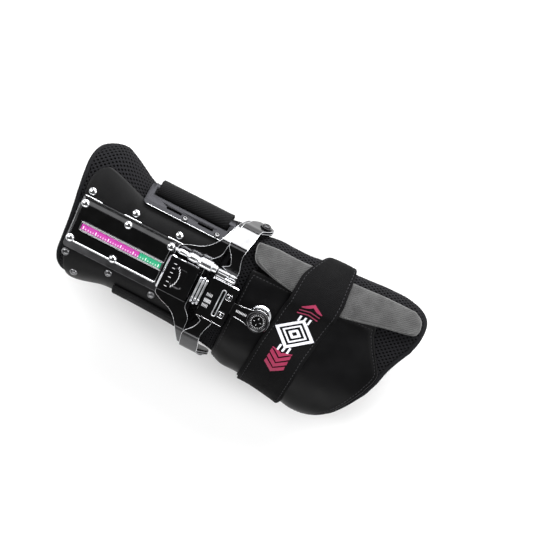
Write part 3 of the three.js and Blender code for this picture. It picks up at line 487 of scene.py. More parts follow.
def arch(zone, x, q, lift, floor_lift=0.0):
    """Points of a zone's section at x, q across it and lift above the liner, down to the floor past q = 2."""
    x, q, lift, floor_lift = np.broadcast_arrays(*[np.asarray(v, float) for v in (x, q, lift, floor_lift)])
    at = zone["sign"] * x / zone["reach"]
    side = np.where((q < 0) | (q > 4), -1.0, 1.0)
    turn = np.where(q > 4, 8 - q, np.abs(q))
    thumb, ulnar, drop = (along(zone["sections"], ZONE_COLUMNS, column, at) for column in ZONE_COLUMNS[1:])
    reach = zone["half_width"] * np.where(side < 0, ulnar, thumb)
    crown = zone["top"] - zone["fall"] * drop
    low = crown - zone["fall"]
    upper = np.clip(turn - 1, 0, 1) * math.pi / 2
    lower = np.clip(turn - 2, 0, 1) * math.pi / 2
    y = np.where(
        turn <= 1,
        CROWN_HALF_WIDTH * turn,
        CROWN_HALF_WIDTH + (reach - CROWN_HALF_WIDTH + lift) * np.sin(upper),
    )
    y = np.where(turn > 2, PALM_HALF_WIDTH + (reach - PALM_HALF_WIDTH + lift) * np.cos(lower), y)
    y = np.where(turn > 3, PALM_HALF_WIDTH * (4 - turn), y)
    z = np.where(turn <= 1, crown + lift, low + (zone["fall"] + lift) * np.cos(upper))
    z = np.where(turn > 2, low - (low - floor_lift) * np.sin(lower), z)
    z = np.where(turn > 3, floor_lift, z)
    return np.stack([x, side * y, z], -1)


def spaced(count, length, rim):
    """Shares from 0 to 1, closer together within rim of both ends of a length."""
    near = rim / length * np.array([0, 0.06, 0.22, 0.5, 1.0])
    middle = np.linspace(near[-1], 1 - near[-1], count)
    return np.concatenate([near[:-1], middle, 1 - near[-2::-1]])


def unit(vectors):
    return vectors / np.linalg.norm(vectors, axis=-1, keepdims=True)


def run_length(grid, axis):
    """Length along the lines of a grid of points."""
    steps = np.linalg.norm(np.diff(grid, axis=axis), axis=-1)
    pad = [(0, 0), (0, 0)]
    pad[axis] = (1, 0)
    return np.cumsum(np.pad(steps, pad), axis=axis)


def edge_distance(grid):
    """Distance of each point of a grid to the nearest of its four sides, along its lines."""
    rows, columns = run_length(grid, 0), run_length(grid, 1)
    return np.minimum.reduce([rows, rows[-1:] - rows, columns, columns[:, -1:] - columns])


def rounding(distance, radius):
    """Share of the full thickness at a distance from a rounded edge."""
    return np.sqrt(1 - (1 - np.clip(distance / radius, 0.02, 1)) ** 2)


def half_wall(grid, half):
    """Distance of each point of a wall's middle to the rims, and half the wall's thickness there."""
    distance = edge_distance(grid)
    return distance, half * rounding(distance, half)


def folds(grid, spacing, seed):
    """Smooth noise from -1 to 1 on a grid of points."""
    scaled = grid.reshape(-1, 3) / spacing + seed * 7.31
    return np.array([noise.noise(Vector(p)) for p in scaled]).reshape(grid.shape[:2])


def groove(distance, inset, width=0.9):
    """Dip of a sewn line at an inset from the edge, from 0 to 1."""
    return np.exp(-(((distance - inset) / width) ** 2))


def shell_grid(zone, edge, q, shares, lift, margin=0.0):
    """Grid of points on a zone inside an outline, at a lift."""
    start = zone["sign"] * zone["reach"] * edge_share(edge, "start", q)
    end = zone["sign"] * (zone["reach"] * edge_share(edge, "end", q) - margin)
    x = start[:, None] + (end - start)[:, None] * shares
    return arch(zone, x, np.broadcast_to(q[:, None], x.shape), lift)


# Pieces


def new_object(name, mesh):
    made = bpy.data.objects.new(name, mesh)
    bpy.context.scene.collection.objects.link(made)
    return made


def bare_object(name, points, faces, edges=()):
    """Object whose points, given in millimetres, are set in the frame."""
    mesh = bpy.data.meshes.new(name)
    mesh.from_pydata(((np.asarray(points, float).reshape(-1, 3) + SHIFT) * MM).tolist(), list(edges), faces)
    return new_object(name, mesh)


def outward(points, faces):
    """The same faces, turned so that they point out of the closed form."""
    total = 0.0
    for face in faces:
        corner = points[face[0]]
        for k in range(1, len(face) - 1):
            total += corner @ np.cross(points[face[k]], points[face[k + 1]])
    return faces if total > 0 else [face[::-1] for face in faces]


def dress(made, look, nodes=(), body="brace", slot=None, smooth=True, sharp=None):
    """Gives a piece its finish and its body, and hides the frame nodes that it stands in for."""
    made.data.materials.clear()
    made.data.materials.append(LOOKS[look])
    if smooth:
        made.data.shade_smooth()
    if sharp:
        made.data.set_sharp_from_angle(angle=math.radians(sharp))
    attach(made, body)
    if nodes:
        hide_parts(*nodes)
    slot = slot or SLOTS.get(look)
    return made


def wall_form(outer, inner):
    """Points, outward faces and surface lengths of a closed wall between two grids."""
    rows, columns = outer.shape[:2]
    size = rows * columns
    index = np.arange(size).reshape(rows, columns)
    top = np.stack([index[:-1, :-1], index[1:, :-1], index[1:, 1:], index[:-1, 1:]], -1).reshape(-1, 4)
    edge = np.concatenate([index[0, :-1], index[:-1, -1], index[-1, :0:-1], index[:0:-1, 0]])
    after = np.roll(edge, -1)
    rim = np.stack([edge, after, after + size, edge + size], -1)
    faces = np.concatenate([top, top[:, ::-1] + size, rim])
    points = np.concatenate([outer.reshape(-1, 3), inner.reshape(-1, 3)])
    a, b, c, d = (points[faces[:, k]] for k in range(4))
    volume = np.einsum("ij,ij->", a, np.cross(b, c)) + np.einsum("ij,ij->", a, np.cross(c, d))
    if volume < 0:
        faces = faces[:, ::-1]
    lengths = np.stack([run_length(outer, 1), run_length(outer, 0)], -1).reshape(-1, 2)
    return points, faces, np.concatenate([lengths, lengths])


def wall_piece(name, outer, inner, look, nodes=(), **facts):
    """Closed wall between two grids, with its lengths in metres as its UV map."""
    points, faces, lengths = wall_form(outer, inner)
    made = bare_object(name, points, faces.tolist())
    layer = made.data.uv_layers.new(name="lengths")
    loops = np.zeros(len(made.data.loops), np.int32)
    made.data.loops.foreach_get("vertex_index", loops)
    layer.data.foreach_set("uv", (lengths[loops] * MM).astype(np.float32).ravel())
    return dress(made, look, nodes, **facts)


def soft_wall(name, zone, edge, low, high, look, margin=0.0, puff=0.0, seams=(), fold=0.0, seed=1, **facts):
    """Soft shell with rounded rims, a crowned face, sewn lines and shallow folds."""
    q = across(edge, spaced(110, 34 * (edge[-1][0] - edge[0][0]), high - low))
    shares = spaced(90, 0.7 * zone["reach"], high - low)
    half = (high - low) / 2
    middle = shell_grid(zone, edge, q, shares, low + half, margin)
    distance, thick = half_wall(middle, half)
    face = puff * (1 - np.exp(-distance / 6)) - sum(0.4 * groove(distance, seam) for seam in seams)
    wave = fold * (folds(middle, 34, seed) + 0.5 * folds(middle, 13, seed + 1)) * (1 - np.exp(-distance / 5))
    outer = shell_grid(zone, edge, q, shares, low + half + thick + face + wave, margin)
    inner = shell_grid(zone, edge, q, shares, low + half - thick + wave, margin)
    wall_piece(name, outer, inner, look, **facts)


def rim_line(grid):
    """Closed line of points round a grid."""
    return np.concatenate([grid[0, :-1], grid[:-1, -1], grid[-1, :0:-1], grid[:0:-1, 0]])


def inset_line(zone, edge, inset, lift, steps=70):
    """Closed line on a zone, at a distance inside an outline."""
    q_step = inset / Q_LENGTH
    q = np.linspace(edge[0][0] + q_step, edge[-1][0] - q_step, steps)
    start = zone["sign"] * (zone["reach"] * edge_share(edge, "start", q) + inset)
    end = zone["sign"] * (zone["reach"] * edge_share(edge, "end", q) - inset)
    side = np.linspace(0, 1, steps)[1:-1]
    thumb_side = end[-1] + (start[-1] - end[-1]) * side
    other_side = start[0] + (end[0] - start[0]) * side
    x = np.concatenate([end, thumb_side, start[::-1], other_side])
    round_q = np.concatenate([q, np.full(steps - 2, q[-1]), q[::-1], np.full(steps - 2, q[0])])
    return arch(zone, x, round_q, lift)


def turned_form(profile, steps, flutes=0, depth=0.0):
    """Points and faces of a form turned about z through (radius, height) pairs, with a pole at both ends."""
    angles = np.arange(steps) / steps * math.tau
    ripple = 1 - depth * (0.5 - 0.5 * np.cos(flutes * angles))
    points = [np.array([[0, 0, profile[0][1]]])]
    for radius, height in profile:
        ring = np.stack([radius * ripple * np.cos(angles), radius * ripple * np.sin(angles)], -1)
        points.append(np.concatenate([ring, np.full((steps, 1), height)], -1))
    points.append(np.array([[0, 0, profile[-1][1]]]))
    faces = []
    last = 1 + (len(profile) - 1) * steps
    for k in range(steps):
        n = (k + 1) % steps
        faces.append([0, 1 + k, 1 + n])
        faces += [[a + k, a + steps + k, a + steps + n, a + n] for a in range(1, last, steps)]
        faces.append([last + n, last + k, last + steps])
    points = np.concatenate(points)
    return points, outward(points, faces)


def set_at(points, origin, axis=(0, 0, 1)):
    """Points whose z axis is turned to an axis and moved to an origin."""
    turn = np.array(Vector((0, 0, 1)).rotation_difference(Vector(axis)).to_matrix())
    return np.asarray(points) @ turn.T + np.array(origin)


def turned_piece(name, profile, origin, look, axis=(0, 0, 1), steps=40, sharp=40, flutes=0, depth=0.0, **facts):
    points, faces = turned_form(profile, steps, flutes, depth)
    return dress(bare_object(name, set_at(points, origin, axis), faces), look, sharp=sharp, **facts)


def rounded_outline(length, width, radius, arc=8):
    """Points of a rectangle with round corners, about the origin."""
    points = []
    for x, y, start in ((1, 1, 0), (-1, 1, 90), (-1, -1, 180), (1, -1, 270)):
        centre = (x * (length / 2 - radius), y * (width / 2 - radius))
        points += circle(centre, radius, [math.radians(start + 90 * k / arc) for k in range(arc + 1)])
    return points


def circle(centre, radius, angles, *height):
    """Points at angles round a centre, with a height if it is given."""
    return [(centre[0] + radius * math.cos(a), centre[1] + radius * math.sin(a), *height) for a in angles]


def block_form(outline, bottom, top, edge=0.3):
    """Points and faces of an upright block over an outline, with its upper edge rounded."""
    outline = np.array(outline)
    centre = outline.mean(0)
    levels = [(0.0, bottom), (0.0, bottom + edge * 0.3), (0.0, top - edge)]
    for k in range(1, 4):
        angle = k / 3 * math.pi / 2
        levels.append((edge * (1 - math.cos(angle)), top - edge + edge * math.sin(angle)))
    reach = np.abs(outline - centre).max(0)
    points = []
    for inset, height in levels:
        ring = centre + (outline - centre) * (1 - inset / reach)
        points.append(np.concatenate([ring, np.full((len(ring), 1), height)], -1))
    count = len(outline)
    faces = [list(range(count))[::-1]]
    for row in range(len(levels) - 1):
        for k in range(count):
            n = (k + 1) % count
            a = row * count
            faces.append([a + k, a + n, a + count + n, a + count + k])
    faces.append([(len(levels) - 1) * count + k for k in range(count)])
    points = np.concatenate(points)
    return points, outward(points, faces)


def block_piece(name, outline, bottom, top, look, edge=0.3, sharp=30, **facts):
    points, faces = block_form(outline, bottom, top, edge)
    return dress(bare_object(name, points, faces), look, sharp=sharp, **facts)


def dressed_node(node, name, look, edge=0.3, body="brace", slot=None):
    """Copy of a frame node with its triangles joined, its edges rounded and a finish."""
    form = bmesh.new()
    form.from_mesh(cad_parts[node].data)
    bmesh.ops.remove_doubles(form, verts=form.verts, dist=2e-6)
    bmesh.ops.dissolve_limit(form, angle_limit=math.radians(1), verts=form.verts, edges=form.edges)
    mesh = bpy.data.meshes.new(name)
    form.to_mesh(mesh)
    form.free()
    made = new_object(name, mesh)
    dress(made, look, (node,), body, slot, smooth=False)
    rounding_edge = made.modifiers.new("Rounded edges", "BEVEL")
    rounding_edge.width = edge * MM
    rounding_edge.segments = 2
    rounding_edge.limit_method = "ANGLE"
    rounding_edge.angle_limit = math.radians(36)
    rounding_edge.use_clamp_overlap = True
    return made


# Geometry Nodes


def add_node(tree, kind, inputs=None, **settings):
    """Adds a node, with its settings and with values or other nodes' sockets at its inputs."""
    node = tree.nodes.new(kind)
    for key, value in settings.items():
        setattr(node, key, value)
    for key, value in (inputs or {}).items():
        if isinstance(value, bpy.types.NodeSocket):
            tree.links.new(value, node.inputs[key])
        else:
            node.inputs[key].default_value = value
    return node


def shape_tree(name, sockets):
    """Geometry Nodes tree with a geometry, named sizes and a material as inputs."""
    tree = bpy.data.node_groups.new(name, "GeometryNodeTree")
    tree.interface.new_socket(name="Geometry", in_out="INPUT", socket_type="NodeSocketGeometry")
    for label, kind in sockets:
        tree.interface.new_socket(name=label, in_out="INPUT", socket_type=kind)
    tree.interface.new_socket(name="Material", in_out="INPUT", socket_type="NodeSocketMaterial")
    tree.interface.new_socket(name="Geometry", in_out="OUTPUT", socket_type="NodeSocketGeometry")
    return tree, tree.nodes.new("NodeGroupInput").outputs


def close_tree(tree, geometry, material):
    """Ends a tree with real geometry in its material."""
    real = add_node(tree, "GeometryNodeRealizeInstances", {"Geometry": geometry})
    soft = add_node(tree, "GeometryNodeSetShadeSmooth", {"Geometry": real.outputs[0]})
    done = add_node(tree, "GeometryNodeSetMaterial", {"Geometry": soft.outputs[0], "Material": material})
    output = tree.nodes.new("NodeGroupOutput")
    tree.links.new(done.outputs[0], output.inputs[0])
    return tree


def binding_tree():
    """A round edge binding along a line."""
    tree, given = shape_tree("edge_binding", [("Radius", "NodeSocketFloat")])
    line = add_node(tree, "GeometryNodeMeshToCurve", {"Mesh": given["Geometry"]})
    ring = add_node(tree, "GeometryNodeCurvePrimitiveCircle", {"Resolution": 12, "Radius": given["Radius"]})
    path = {"Curve": line.outputs[0], "Profile Curve": ring.outputs["Curve"]}
    tube = add_node(tree, "GeometryNodeCurveToMesh", path)
    return close_tree(tree, tube.outputs[0], given["Material"])


def stitch_tree():
    """Stitches along a line, each a short rounded length of thread."""
    tree, given = shape_tree("stitches", [(label, "NodeSocketFloat") for label in ("Pitch", "Length", "Width")])
    line = add_node(tree, "GeometryNodeMeshToCurve", {"Mesh": given["Geometry"]})
    spacing = {"Curve": line.outputs[0], "Length": given["Pitch"]}
    marks = add_node(tree, "GeometryNodeResampleCurve", spacing, mode="LENGTH")
    half_length, half_width = (
        add_node(tree, "ShaderNodeMath", {0: given[label], 1: 0.5}, operation="MULTIPLY").outputs[0]
        for label in ("Length", "Width")
    )
    size = add_node(tree, "ShaderNodeCombineXYZ", {"X": half_width, "Y": half_width, "Z": half_length})
    thread = add_node(tree, "GeometryNodeMeshUVSphere", {"Segments": 6, "Rings": 5, "Radius": 1.0})
    tangent = add_node(tree, "GeometryNodeInputTangent").outputs[0]
    heading = add_node(tree, "FunctionNodeAlignRotationToVector", {"Vector": tangent}, axis="Z")
    placed = {
        "Points": marks.outputs[0], "Instance": thread.outputs["Mesh"],
        "Rotation": heading.outputs[0], "Scale": size.outputs[0],
    }
    copies = add_node(tree, "GeometryNodeInstanceOnPoints", placed)
    return close_tree(tree, copies.outputs[0], given["Material"])


def net_tree():
    """Round holes, one in each cell of a lattice of four-sided faces."""
    tree, given = shape_tree("pierced_net", [("Hole", "NodeSocketFloat")])
    flat = {"Mesh": given["Geometry"], "Offset Scale": 0.0}
    lifted = add_node(tree, "GeometryNodeExtrudeMesh", flat, mode="FACES")
    lifted.inputs["Individual"].default_value = True
    cells, tops = lifted.outputs["Mesh"], lifted.outputs["Top"]
    inner = {"Geometry": cells, "Selection": tops, "Scale": given["Hole"]}
    shrunk = add_node(tree, "GeometryNodeScaleElements", inner, domain="FACE").outputs[0]
    gone = {"Geometry": shrunk, "Selection": tops}
    holed = add_node(tree, "GeometryNodeDeleteGeometry", gone, domain="FACE", mode="ALL")
    round_holes = add_node(tree, "GeometryNodeSubdivisionSurface", {"Mesh": holed.outputs[0], "Level": 1})
    return close_tree(tree, round_holes.outputs[0], given["Material"])


def copies_tree():
    """Copies of one object on points, stood on the points' axis and turned to their heading."""
    tree, given = shape_tree("copies_on_points", [("Source", "NodeSocketObject")])
    source = add_node(tree, "GeometryNodeObjectInfo", {"Object": given["Source"], "As Instance": True})
    axis, heading = (
        add_node(tree, "GeometryNodeInputNamedAttribute", {"Name": label}, data_type="FLOAT_VECTOR")
        .outputs["Attribute"] for label in ("axis", "heading")
    )
    stood = add_node(tree, "FunctionNodeAlignRotationToVector", {"Vector": axis}, axis="Z")
    aimed = {"Rotation": stood.outputs[0], "Vector": heading}
    turned = add_node(tree, "FunctionNodeAlignRotationToVector", aimed, axis="X", pivot_axis="Z")
    placed = {
        "Points": given["Geometry"], "Instance": source.outputs["Geometry"], "Rotation": turned.outputs[0]
    }
    copies = add_node(tree, "GeometryNodeInstanceOnPoints", placed)
    return close_tree(tree, copies.outputs[0], given["Material"])


def grown_piece(name, base, tree, values, look, wall=0.0, **facts):
    """Runs a tree on a base object and keeps the plain mesh that it makes as a piece."""
    modifier = base.modifiers.new(tree.name, "NODES")
    modifier.node_group = tree
    values = {**values, "Material": LOOKS[look]}
    for item in tree.interface.items_tree:
        if item.in_out == "INPUT" and item.name in values:
            modifier[item.identifier] = values[item.name]
    if wall:
        thickness = base.modifiers.new("Thickness", "SOLIDIFY")
        thickness.thickness = wall
        thickness.offset = -1
    graph = bpy.context.evaluated_depsgraph_get()
    mesh = bpy.data.meshes.new_from_object(base.evaluated_get(graph), depsgraph=graph)
    bpy.data.objects.remove(base)
    return dress(new_object(name, mesh), look, **facts)


def line_object(name, lines, closed=True):
    """Object that holds only lines, for a tree to follow."""
    edges = []
    start = 0
    for line in lines:
        count = len(line)
        edges += [(start + k, start + k + 1) for k in range(count - 1)]
        if closed:
            edges.append((start + count - 1, start))
        start += count
    return bare_object(name, np.concatenate(lines), [], edges)


def sewn(name, lines, look, closed=True, **facts):
    sizes = bpy.context.scene.glove_sizes
    values = {"Pitch": sizes.stitch_pitch, "Length": sizes.stitch_length, "Width": sizes.stitch_width}
    base = line_object(name + "_line", lines, closed)
    return grown_piece(name, base, TREES["stitches"], values, look, **facts)


def bound(name, lines, radius, look, closed=True, **facts):
    """Round binding, cord, bead or bright edge line along lines, its radius in millimetres; the bright edge
    lines are painted highlights.
    """
    base = line_object(name + "_line", lines, closed)
    return grown_piece(name, base, TREES["binding"], {"Radius": radius * MM}, look, **facts)


def copied(name, form, points, look, axes=None, headings=None, sharp=40, **facts):
    """Copies of a form, in millimetres, on points, with z along their axes and x along their headings."""
    source_mesh = bpy.data.meshes.new(name + "_one")
    source_mesh.from_pydata((np.asarray(form[0], float) * MM).tolist(), [], form[1])
    source = new_object(name + "_one", source_mesh)
    base = bare_object(name + "_points", points, [])
    for label, vectors, usual in (("axis", axes, (0, 0, 1)), ("heading", headings, (1, 0, 0))):
        attribute = base.data.attributes.new(label, "FLOAT_VECTOR", "POINT")
        vectors = vectors or [usual] * len(points)
        attribute.data.foreach_set("vector", np.array(vectors, np.float32).ravel())
    made = grown_piece(name, base, TREES["copies"], {"Source": source}, look, sharp=sharp, **facts)
    bpy.data.objects.remove(source)
    return made


# Finishes


def per_mm(size):
    """Texture scale that gives features of a size in millimetres on coordinates in metres."""
    return 1 / (size * MM)


def new_look(name, colour, roughness, **values):
    """Material with its tree, its shader and its object coordinates."""
    look = bpy.data.materials.new(name)
    look.use_nodes = True
    tree = look.node_tree
    shader = tree.nodes["Principled BSDF"]
    values = {"Base Color": (*colour, 1), "Roughness": roughness, **values}
    for key, value in values.items():
        shader.inputs[key.replace("_", " ")].default_value = value
    return look, tree, shader, add_node(tree, "ShaderNodeTexCoord").outputs["Object"]


def noise_of(tree, place, size, detail):
    """Noise with features of a size in millimetres."""
    inputs = {"Vector": place, "Scale": per_mm(size), "Detail": detail}
    return add_node(tree, "ShaderNodeTexNoise", inputs).outputs["Fac"]


def cells_of(tree, place, size, feature):
    """Round cells of a size in millimetres."""
    inputs = {"Vector": place, "Scale": per_mm(size)}
    return add_node(tree, "ShaderNodeTexVoronoi", inputs, feature=feature).outputs["Distance"]


def waves_of(tree, place, size, distortion, direction="X", detail=2.0):
    """Parallel ribs at a pitch in millimetres."""
    scale = math.tau / 20 * per_mm(size)
    inputs = {"Vector": place, "Scale": scale, "Distortion": distortion, "Detail": detail}
    return add_node(tree, "ShaderNodeTexWave", inputs, bands_direction=direction).outputs["Fac"]


def added(tree, first, factor, second):
    """The first height times a factor, plus the second."""
    inputs = {0: first, 1: factor, 2: second}
    return add_node(tree, "ShaderNodeMath", inputs, operation="MULTIPLY_ADD").outputs[0]


def varied(tree, shader, place, colour, size, spread, rough_low, rough_high):
    """Lets colour and roughness drift over patches of a size in millimetres."""
    drift = noise_of(tree, place, size, 4.0)
    ramp = add_node(tree, "ShaderNodeValToRGB", {"Fac": drift})
    for element, position, share in zip(ramp.color_ramp.elements, DRIFT_RANGE, (1 - spread, 1 + spread)):
        element.position = position
        element.color = (*(min(c * share, 1) for c in colour), 1)
    tree.links.new(ramp.outputs["Color"], shader.inputs["Base Color"])
    values = {"Value": drift, "From Min": DRIFT_RANGE[0], "From Max": DRIFT_RANGE[1]}
    rough = add_node(tree, "ShaderNodeMapRange", {**values, "To Min": rough_low, "To Max": rough_high})
    tree.links.new(rough.outputs["Result"], shader.inputs["Roughness"])
    return ramp


def bumped(tree, shader, height, strength, depth):
    """Relief of a depth in millimetres."""
    relief = add_node(tree, "ShaderNodeBump", {"Height": height, "Strength": strength, "Distance": depth * MM})
    tree.links.new(relief.outputs["Normal"], shader.inputs["Normal"])


def metal_look(name, colour, roughness, patches, lines, relief, **values):
    """Metal with duller patches and fine lines along the plate."""
    look, tree, shader, place = new_look(name, colour, roughness, Metallic=1.0, **values)
    size, spread, low, high = patches
    varied(tree, shader, place, colour, size, spread, roughness * low, roughness * high)
    stretch, line, detail = lines
    stretched = add_node(tree, "ShaderNodeMapping", {"Vector": place, "Scale": (stretch, 1.0, 1.0)})
    bumped(tree, shader, noise_of(tree, stretched.outputs[0], line, detail), *relief)
    return look


def chrome_look(name, colour, roughness):
    """Chrome-plated steel, polished: a mirror with faint hairlines from handling and dull smudges."""
    return metal_look(name, colour, roughness, (7, 0.12, 0.7, 1.6), (0.05, 0.35, 2.0), (0.12, 0.006))


def brushed_look(name, colour, roughness):
    """Brushed steel: grey and satin, with fine lines along the plate."""
    patches, lines, relief = (9, 0.15, 0.85, 1.2), (0.03, 0.3, 3.0), (0.5, 0.02)
    return metal_look(name, colour, roughness, patches, lines, relief, Anisotropic=0.5)


def grained_look(name, colour, rough_low, rough_high, grain, depth):
    """Leather or vinyl: small pebbles pressed into the face, duller in the valleys."""
    look, tree, shader, place = new_look(name, colour, rough_low, Specular_IOR_Level=0.15)
    varied(tree, shader, place, colour, 16, 0.22, rough_low, rough_high)
    pebbles = cells_of(tree, place, grain, "SMOOTH_F1")
    bumped(tree, shader, added(tree, pebbles, 1.0, noise_of(tree, place, grain * 4, 6.0)), 0.6, depth)
    return look


def knit_look(name, colour, pitch):
    """Polyester knit: dull threads with hardly a sheen, rows of loops at a pitch."""
    look, tree, shader, place = new_look(
        name, colour, 0.8, Specular_IOR_Level=0.08, Sheen_Weight=0.01, Sheen_Roughness=0.5
    )
    varied(tree, shader, place, colour, 12, 0.2, 0.7, 0.95)
    bumped(tree, shader, cells_of(tree, place, pitch, "F1"), 0.8, pitch * 0.3)
    return look


def suede_look(name, colour):
    """Brushed suede: short nap in lighter and darker strokes, pressed with a fine weave."""
    look, tree, shader, place = new_look(name, colour, 0.9, Sheen_Weight=0.12, Sheen_Roughness=0.6)
    ramp = varied(tree, shader, place, colour, 9, 0.38, 0.8, 1.0)
    ramp.color_ramp.interpolation = "EASE"
    turned = add_node(tree, "ShaderNodeMapping", {"Vector": place, "Rotation": (0, 0, math.radians(52))})
    weave = waves_of(tree, turned.outputs[0], 1.5, 2.0)
    bumped(tree, shader, added(tree, weave, 0.6, noise_of(tree, place, 0.7, 5.0)), 0.9, 0.35)
    return look


def woven_look(name, colour, pitch, turn):
    """Webbing: raised threads at a pitch, turned across the strap, on its own lengths."""
    look, tree, shader, place = new_look(name, colour, 0.75, Specular_IOR_Level=0.1)
    varied(tree, shader, place, colour, 11, 0.2, 0.65, 0.85)
    lengths = add_node(tree, "ShaderNodeUVMap", uv_map="lengths").outputs[0]
    turned = add_node(tree, "ShaderNodeMapping", {"Vector": lengths, "Rotation": (0, 0, math.radians(turn))})
    ribs = waves_of(tree, turned.outputs[0], pitch, 0.4)
    cross = waves_of(tree, turned.outputs[0], pitch / 0.8, 0.3, "Y")
    bumped(tree, shader, added(tree, cross, 0.4, ribs), 0.8, pitch * 0.25)
    return look


def printed_look(name, colour, roughness, coat=0.0):
    """Print: an even film of ink with a slight unevenness of its gloss."""
    look, tree, shader, place = new_look(name, colour, roughness, Coat_Weight=coat)
    varied(tree, shader, place, colour, 3, 0.08, roughness * 0.8, roughness * 1.2)
    bumped(tree, shader, noise_of(tree, place, 0.5, 2.0), 0.3, 0.03)
    return look


TREES = {}
LOOKS = {}


def make_looks(colours):
    """All finishes, each from its way of making, its name, its colour and its values."""
    for key, (make, name, colour, *values) in LOOK_TABLE.items():
        colour = getattr(colours, colour)[:] if hasattr(colours, colour) else srgb(colour)
        LOOKS[key] = make(name, colour, *values)


LOOK_TABLE = {
    "dark_chrome": (chrome_look, "dark_chrome_plate", "dark_chrome", 0.1),
    "bright_chrome": (chrome_look, "bright_chrome_plate", "bright_chrome", 0.07),
    # Bright chrome darkened for the rivets that face away from the light: painted shade
    "dull_chrome": (chrome_look, "dull_chrome_plate", "7a7a7c", 0.22),
    "satin_steel": (brushed_look, "brushed_steel", "satin_steel", 0.34),
    "satin_bright": (brushed_look, "satin_chrome", "bright_chrome", 0.34),
    "loop_steel": (brushed_look, "dark_brushed_steel", "212123", 0.3),
    "vinyl": (grained_look, "grained_vinyl", "vinyl", 0.42, 0.55, 0.9, 0.06),
    "leather": (grained_look, "smooth_leather", "leather", 0.34, 0.46, 0.6, 0.04),
    "mesh": (knit_look, "spacer_mesh_knit", "mesh", 0.8),
    # Mesh knit made near black so that the holes read dark: painted shade
    "core": (knit_look, "spacer_mesh_core", "040404", 1.2),
    "binding": (knit_look, "edge_binding_tape", "mesh", 0.5),
    "thread": (knit_look, "sewing_thread", "3a3a3c", 0.3),
    "grey_thread": (knit_look, "grey_cord_edge", "606060", 0.3),
    "suede": (suede_look, "brushed_suede", "suede"),
    "band": (woven_look, "elastic_webbing", "band", 1.0, 0),
    "twill": (woven_look, "twill_webbing", "twill", 1.3, 55),
    "white": (printed_look, "white_rubber_print", "white", 0.5),
    "crimson": (printed_look, "crimson_rubber_print", "crimson", 0.5),
    "magenta": (printed_look, "magenta_label_film", "magenta", 0.3, 0.4),
    "green": (printed_look, "green_label_film", "green", 0.3, 0.4),
    "etched": (printed_look, "etched_marks", "c8c8ca", 0.45),
    "pale_ink": (printed_look, "pale_label_ink", "f2f2f2", 0.4),
}


def make_trees():
    TREES["binding"] = binding_tree()
    TREES["stitches"] = stitch_tree()
    TREES["net"] = net_tree()
    TREES["copies"] = copies_tree()


# Soft parts


def lattice(zone, edge, cover, cover_margin, cover_reach):
    """Four-sided cells of the spacer mesh in the part of a liner that its cover leaves bare."""
    sizes = bpy.context.scene.glove_sizes
    step_x, step_s = sizes.net_length / MM / 2, sizes.net_width / MM / 2
    reference = zone["sign"] * 0.8 * zone["reach"]
    q_fine = np.linspace(edge[0][0], edge[-1][0], 500)
    arc = run_length(arch(zone, reference, q_fine, 0.0)[None], 1)[0]
    rows = int(arc[-1] / step_s)
    columns = int(1.1 * zone["reach"] / step_x)
    shift_x = zone["sign"] * -0.06 * zone["reach"]
    points, faces, index = [], [], {}

    def corner(i, j):
        if (i, j) not in index:
            index[i, j] = len(points)
            q = np.interp(j * step_s, arc, q_fine)
            points.append(arch(zone, shift_x + zone["sign"] * i * step_x, q, 0.0))
        return index[i, j]

    for i in range(1, columns):
        for j in range(1, rows):
            if (i + j) % 2 == 0:
                continue
            q = np.interp(j * step_s, arc, q_fine)
            at = zone["sign"] * (shift_x + zone["sign"] * i * step_x)
            start = zone["reach"] * edge_share(edge, "start", q) + NET_INSET
            end = zone["reach"] * edge_share(edge, "end", q) - NET_INSET
            if not start < at < end or abs(q) > 2 - NET_INSET / Q_LENGTH:
                continue
            covered = cover[0][0] < q < cover[-1][0] + cover_reach
            cover_start = zone["reach"] * edge_share(cover, "start", q) + NET_LAP
            cover_end = zone["reach"] * edge_share(cover, "end", q) - cover_margin
            if covered and cover_start < at < cover_end:
                continue
            faces.append([corner(i - 1, j), corner(i, j - 1), corner(i + 1, j), corner(i, j + 1)])
    points = np.array(points)
    first = points[faces[0]]
    normal = np.cross(first[1] - first[0], first[2] - first[0])
    outwards = first.mean(0) - np.array([first[0][0], 0, DECK_HEIGHT / 2])
    if normal @ outwards < 0:
        faces = [face[::-1] for face in faces]
    return points, faces


def make_liner(name, zone, edge, cover, node, cover_margin, cover_reach):
    """Liner: a padded core, its pierced spacer mesh where it shows, and its bound edge; the near-black core is
    painted shade in the holes.
    """
    sizes = bpy.context.scene.glove_sizes
    net_wall = sizes.net_wall / MM
    nodes = (node,)
    soft_wall(name + "_core", zone, edge, -LINER_WALL, -net_wall, "core", fold=0.12, seed=3, nodes=nodes)
    points, faces = lattice(zone, edge, cover, cover_margin, cover_reach)
    base = bare_object(name + "_cells", points, faces)
    hole = {"Hole": sizes.net_hole}
    grown_piece(name + "_net", base, TREES["net"], hole, "mesh", wall=sizes.net_wall * 0.95)
    q = across(edge, np.linspace(0, 1, 90))
    outline = rim_line(shell_grid(zone, edge, q, np.linspace(0, 1, 60), -LINER_WALL / 2))
    bound(name + "_binding", [outline], sizes.binding_radius / MM, "binding")


